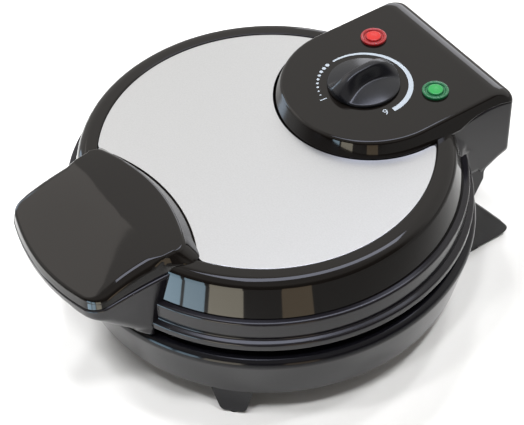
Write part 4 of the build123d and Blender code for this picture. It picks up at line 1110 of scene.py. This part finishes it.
def knob_grid(rings=110, spokes=300):
    """Rings of points from the top's middle to the skirt's edge, then down its side and
    under it to the middle, so that the form is closed."""
    r = KNOB_R * np.linspace(0, 1, rings)[:, None] ** 0.9
    a = np.linspace(0, 2 * np.pi, spokes, endpoint=False)[None]
    x, y = r * np.cos(a), r * np.sin(a)
    top = np.stack([x, y, knob_top(x, y)], axis=-1)
    side = [np.stack([k * x[-1], k * y[-1], np.full(spokes, z)], axis=-1)
            for k, z in ((1, 0.7), (1, 0.3), (0.985, 0.0), (0.8, 0.0), (0.0, 0.0))]
    points = np.concatenate([top, np.array(side)])
    c, s = math.cos(GRIP_TURN), math.sin(GRIP_TURN)
    turned_x = points[..., 0] * c - points[..., 1] * s
    turned_y = points[..., 0] * s + points[..., 1] * c
    return np.stack([turned_x, turned_y + KNOB_Y, points[..., 2] + KNOB_Z], axis=-1)


KNOB = knob_grid()
knob = make_piece("dial_knob", KNOB, grid_faces(*KNOB.shape[:2], False, True), "knob",
                  knob_abs, sharp=60)
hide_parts("knob")
print("knob height", round(float(KNOB[..., 2].max() - KNOB_Z), 2))

# %% [markdown]
# ## Lamp lenses
# Each lens is a clear coloured cap: a rounded rim, a trough and a raised middle with a fine
# grid of facets that spreads the neon's light. One material paints all three by the distance
# from the lens's own axis, with a painted glow of the neon in the middle.

# %% Lenses
LENS = soft_corners([(0.0, 110.4), (7.7, 110.4), (7.75, 112.0), (6.3, 112.0), (5.6, 110.9),
                     (4.7, 110.9), (4.4, 112.3), (0.0, 112.65)],
                    [0.0, 0.2, 0.7, 0.6, 0.3, 0.3, 0.5, 0.0], steps=7)
for x, name, lens_material in ((-LAMP_X, "red", red_lens), (LAMP_X, "green", green_lens)):
    lens = turned(f"lens_{name}", LENS, "lid", lens_material, centre=(x, LAMP_Y),
                  segments=72, wrap=False, sharp=60)
    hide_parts(f"{name}_lamp_lens")
print("lens points:", len(LENS))

# %% [markdown]
# ## Printed scale
# Nine dots grow towards a tapering arc, with a plain number at each end. The ink is pad
# printed, so it stands only a few hundredths of a millimetre above the plastic.

# %% Dial scale
INK_LOW, INK_HIGH, ARC_FIRST, ARC_LAST, DOTS = 110.28, 110.36, 186, 1, 9


def dial_point(angle, radius):
    """Point round the knob's axis at an angle in degrees."""
    a = np.radians(angle)
    return np.stack([radius * np.cos(a), KNOB_Y + radius * np.sin(a)], axis=-1)


sweep = np.linspace(ARC_FIRST, ARC_LAST, 80)
thick = 1.2 + 1.8 * np.clip((ARC_FIRST - sweep) / 150, 0, 1)
mean_r = 26.4 + 1.0 * (ARC_FIRST - sweep) / 180
outer = dial_point(sweep, mean_r + thick / 2)
inner = dial_point(sweep, mean_r - thick / 2)[::-1]
slab("scale_arc", np.concatenate([outer, inner]), INK_LOW, INK_HIGH, "lid", ink, bevel=0,
     **LEVEL)
for k in range(DOTS):
    centre = dial_point(196.0 + 7.4 * k, 26.5)
    dot = ring_points(centre, 1.25 - 0.085 * k, 0, 360, 25)[:-1]
    slab(f"scale_dot_{k}", dot, INK_LOW, INK_HIGH, "lid", ink, bevel=0, **LEVEL)
print("arc points:", 2 * len(sweep), "dots:", DOTS)

# %% [markdown]
# The numbers are text, given a little thickness and made a mesh before they are moved to
# their place, so that the ink's material finds them where they are.

# %% Dial numbers
DIGIT_HALF, DIGIT_SIZE = 0.02 / 1000, 6.4 / 1000


def printed_number(text, angle, radius):
    """A plain digit, made a closed mesh, then turned so that its top faces the knob."""
    curve = bpy.data.curves.new(f"digit_{text}", "FONT")
    curve.body, curve.size, curve.extrude = text, DIGIT_SIZE, DIGIT_HALF
    curve.align_x = curve.align_y = "CENTER"
    holder = bpy.data.objects.new("digit_source", curve)
    bpy.context.scene.collection.objects.link(holder)
    bpy.context.view_layer.update()
    mesh = bpy.data.meshes.new_from_object(holder)
    bpy.data.objects.remove(holder)
    close_up(mesh)
    flat = np.empty(len(mesh.vertices) * 3)
    mesh.vertices.foreach_get("co", flat)
    p = flat.reshape(-1, 3)
    c, s = math.cos(math.radians(angle - 270)), math.sin(math.radians(angle - 270))
    middle = dial_point(angle, radius) / 1000
    moved = np.stack([p[:, 0] * c - p[:, 1] * s + middle[0],
                      p[:, 0] * s + p[:, 1] * c + middle[1] + SHIFT / 1000,
                      p[:, 2] + INK_HIGH / 1000 - DIGIT_HALF], axis=1)
    mesh.vertices.foreach_set("co", moved.ravel())
    mesh.materials.append(ink)
    obj = bpy.data.objects.new(f"scale_number_{text}", mesh)
    bpy.context.scene.collection.objects.link(obj)
    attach(obj, "lid")


printed_number("1", 264.0, 26.8)
printed_number("9", -9.0, 27.0)
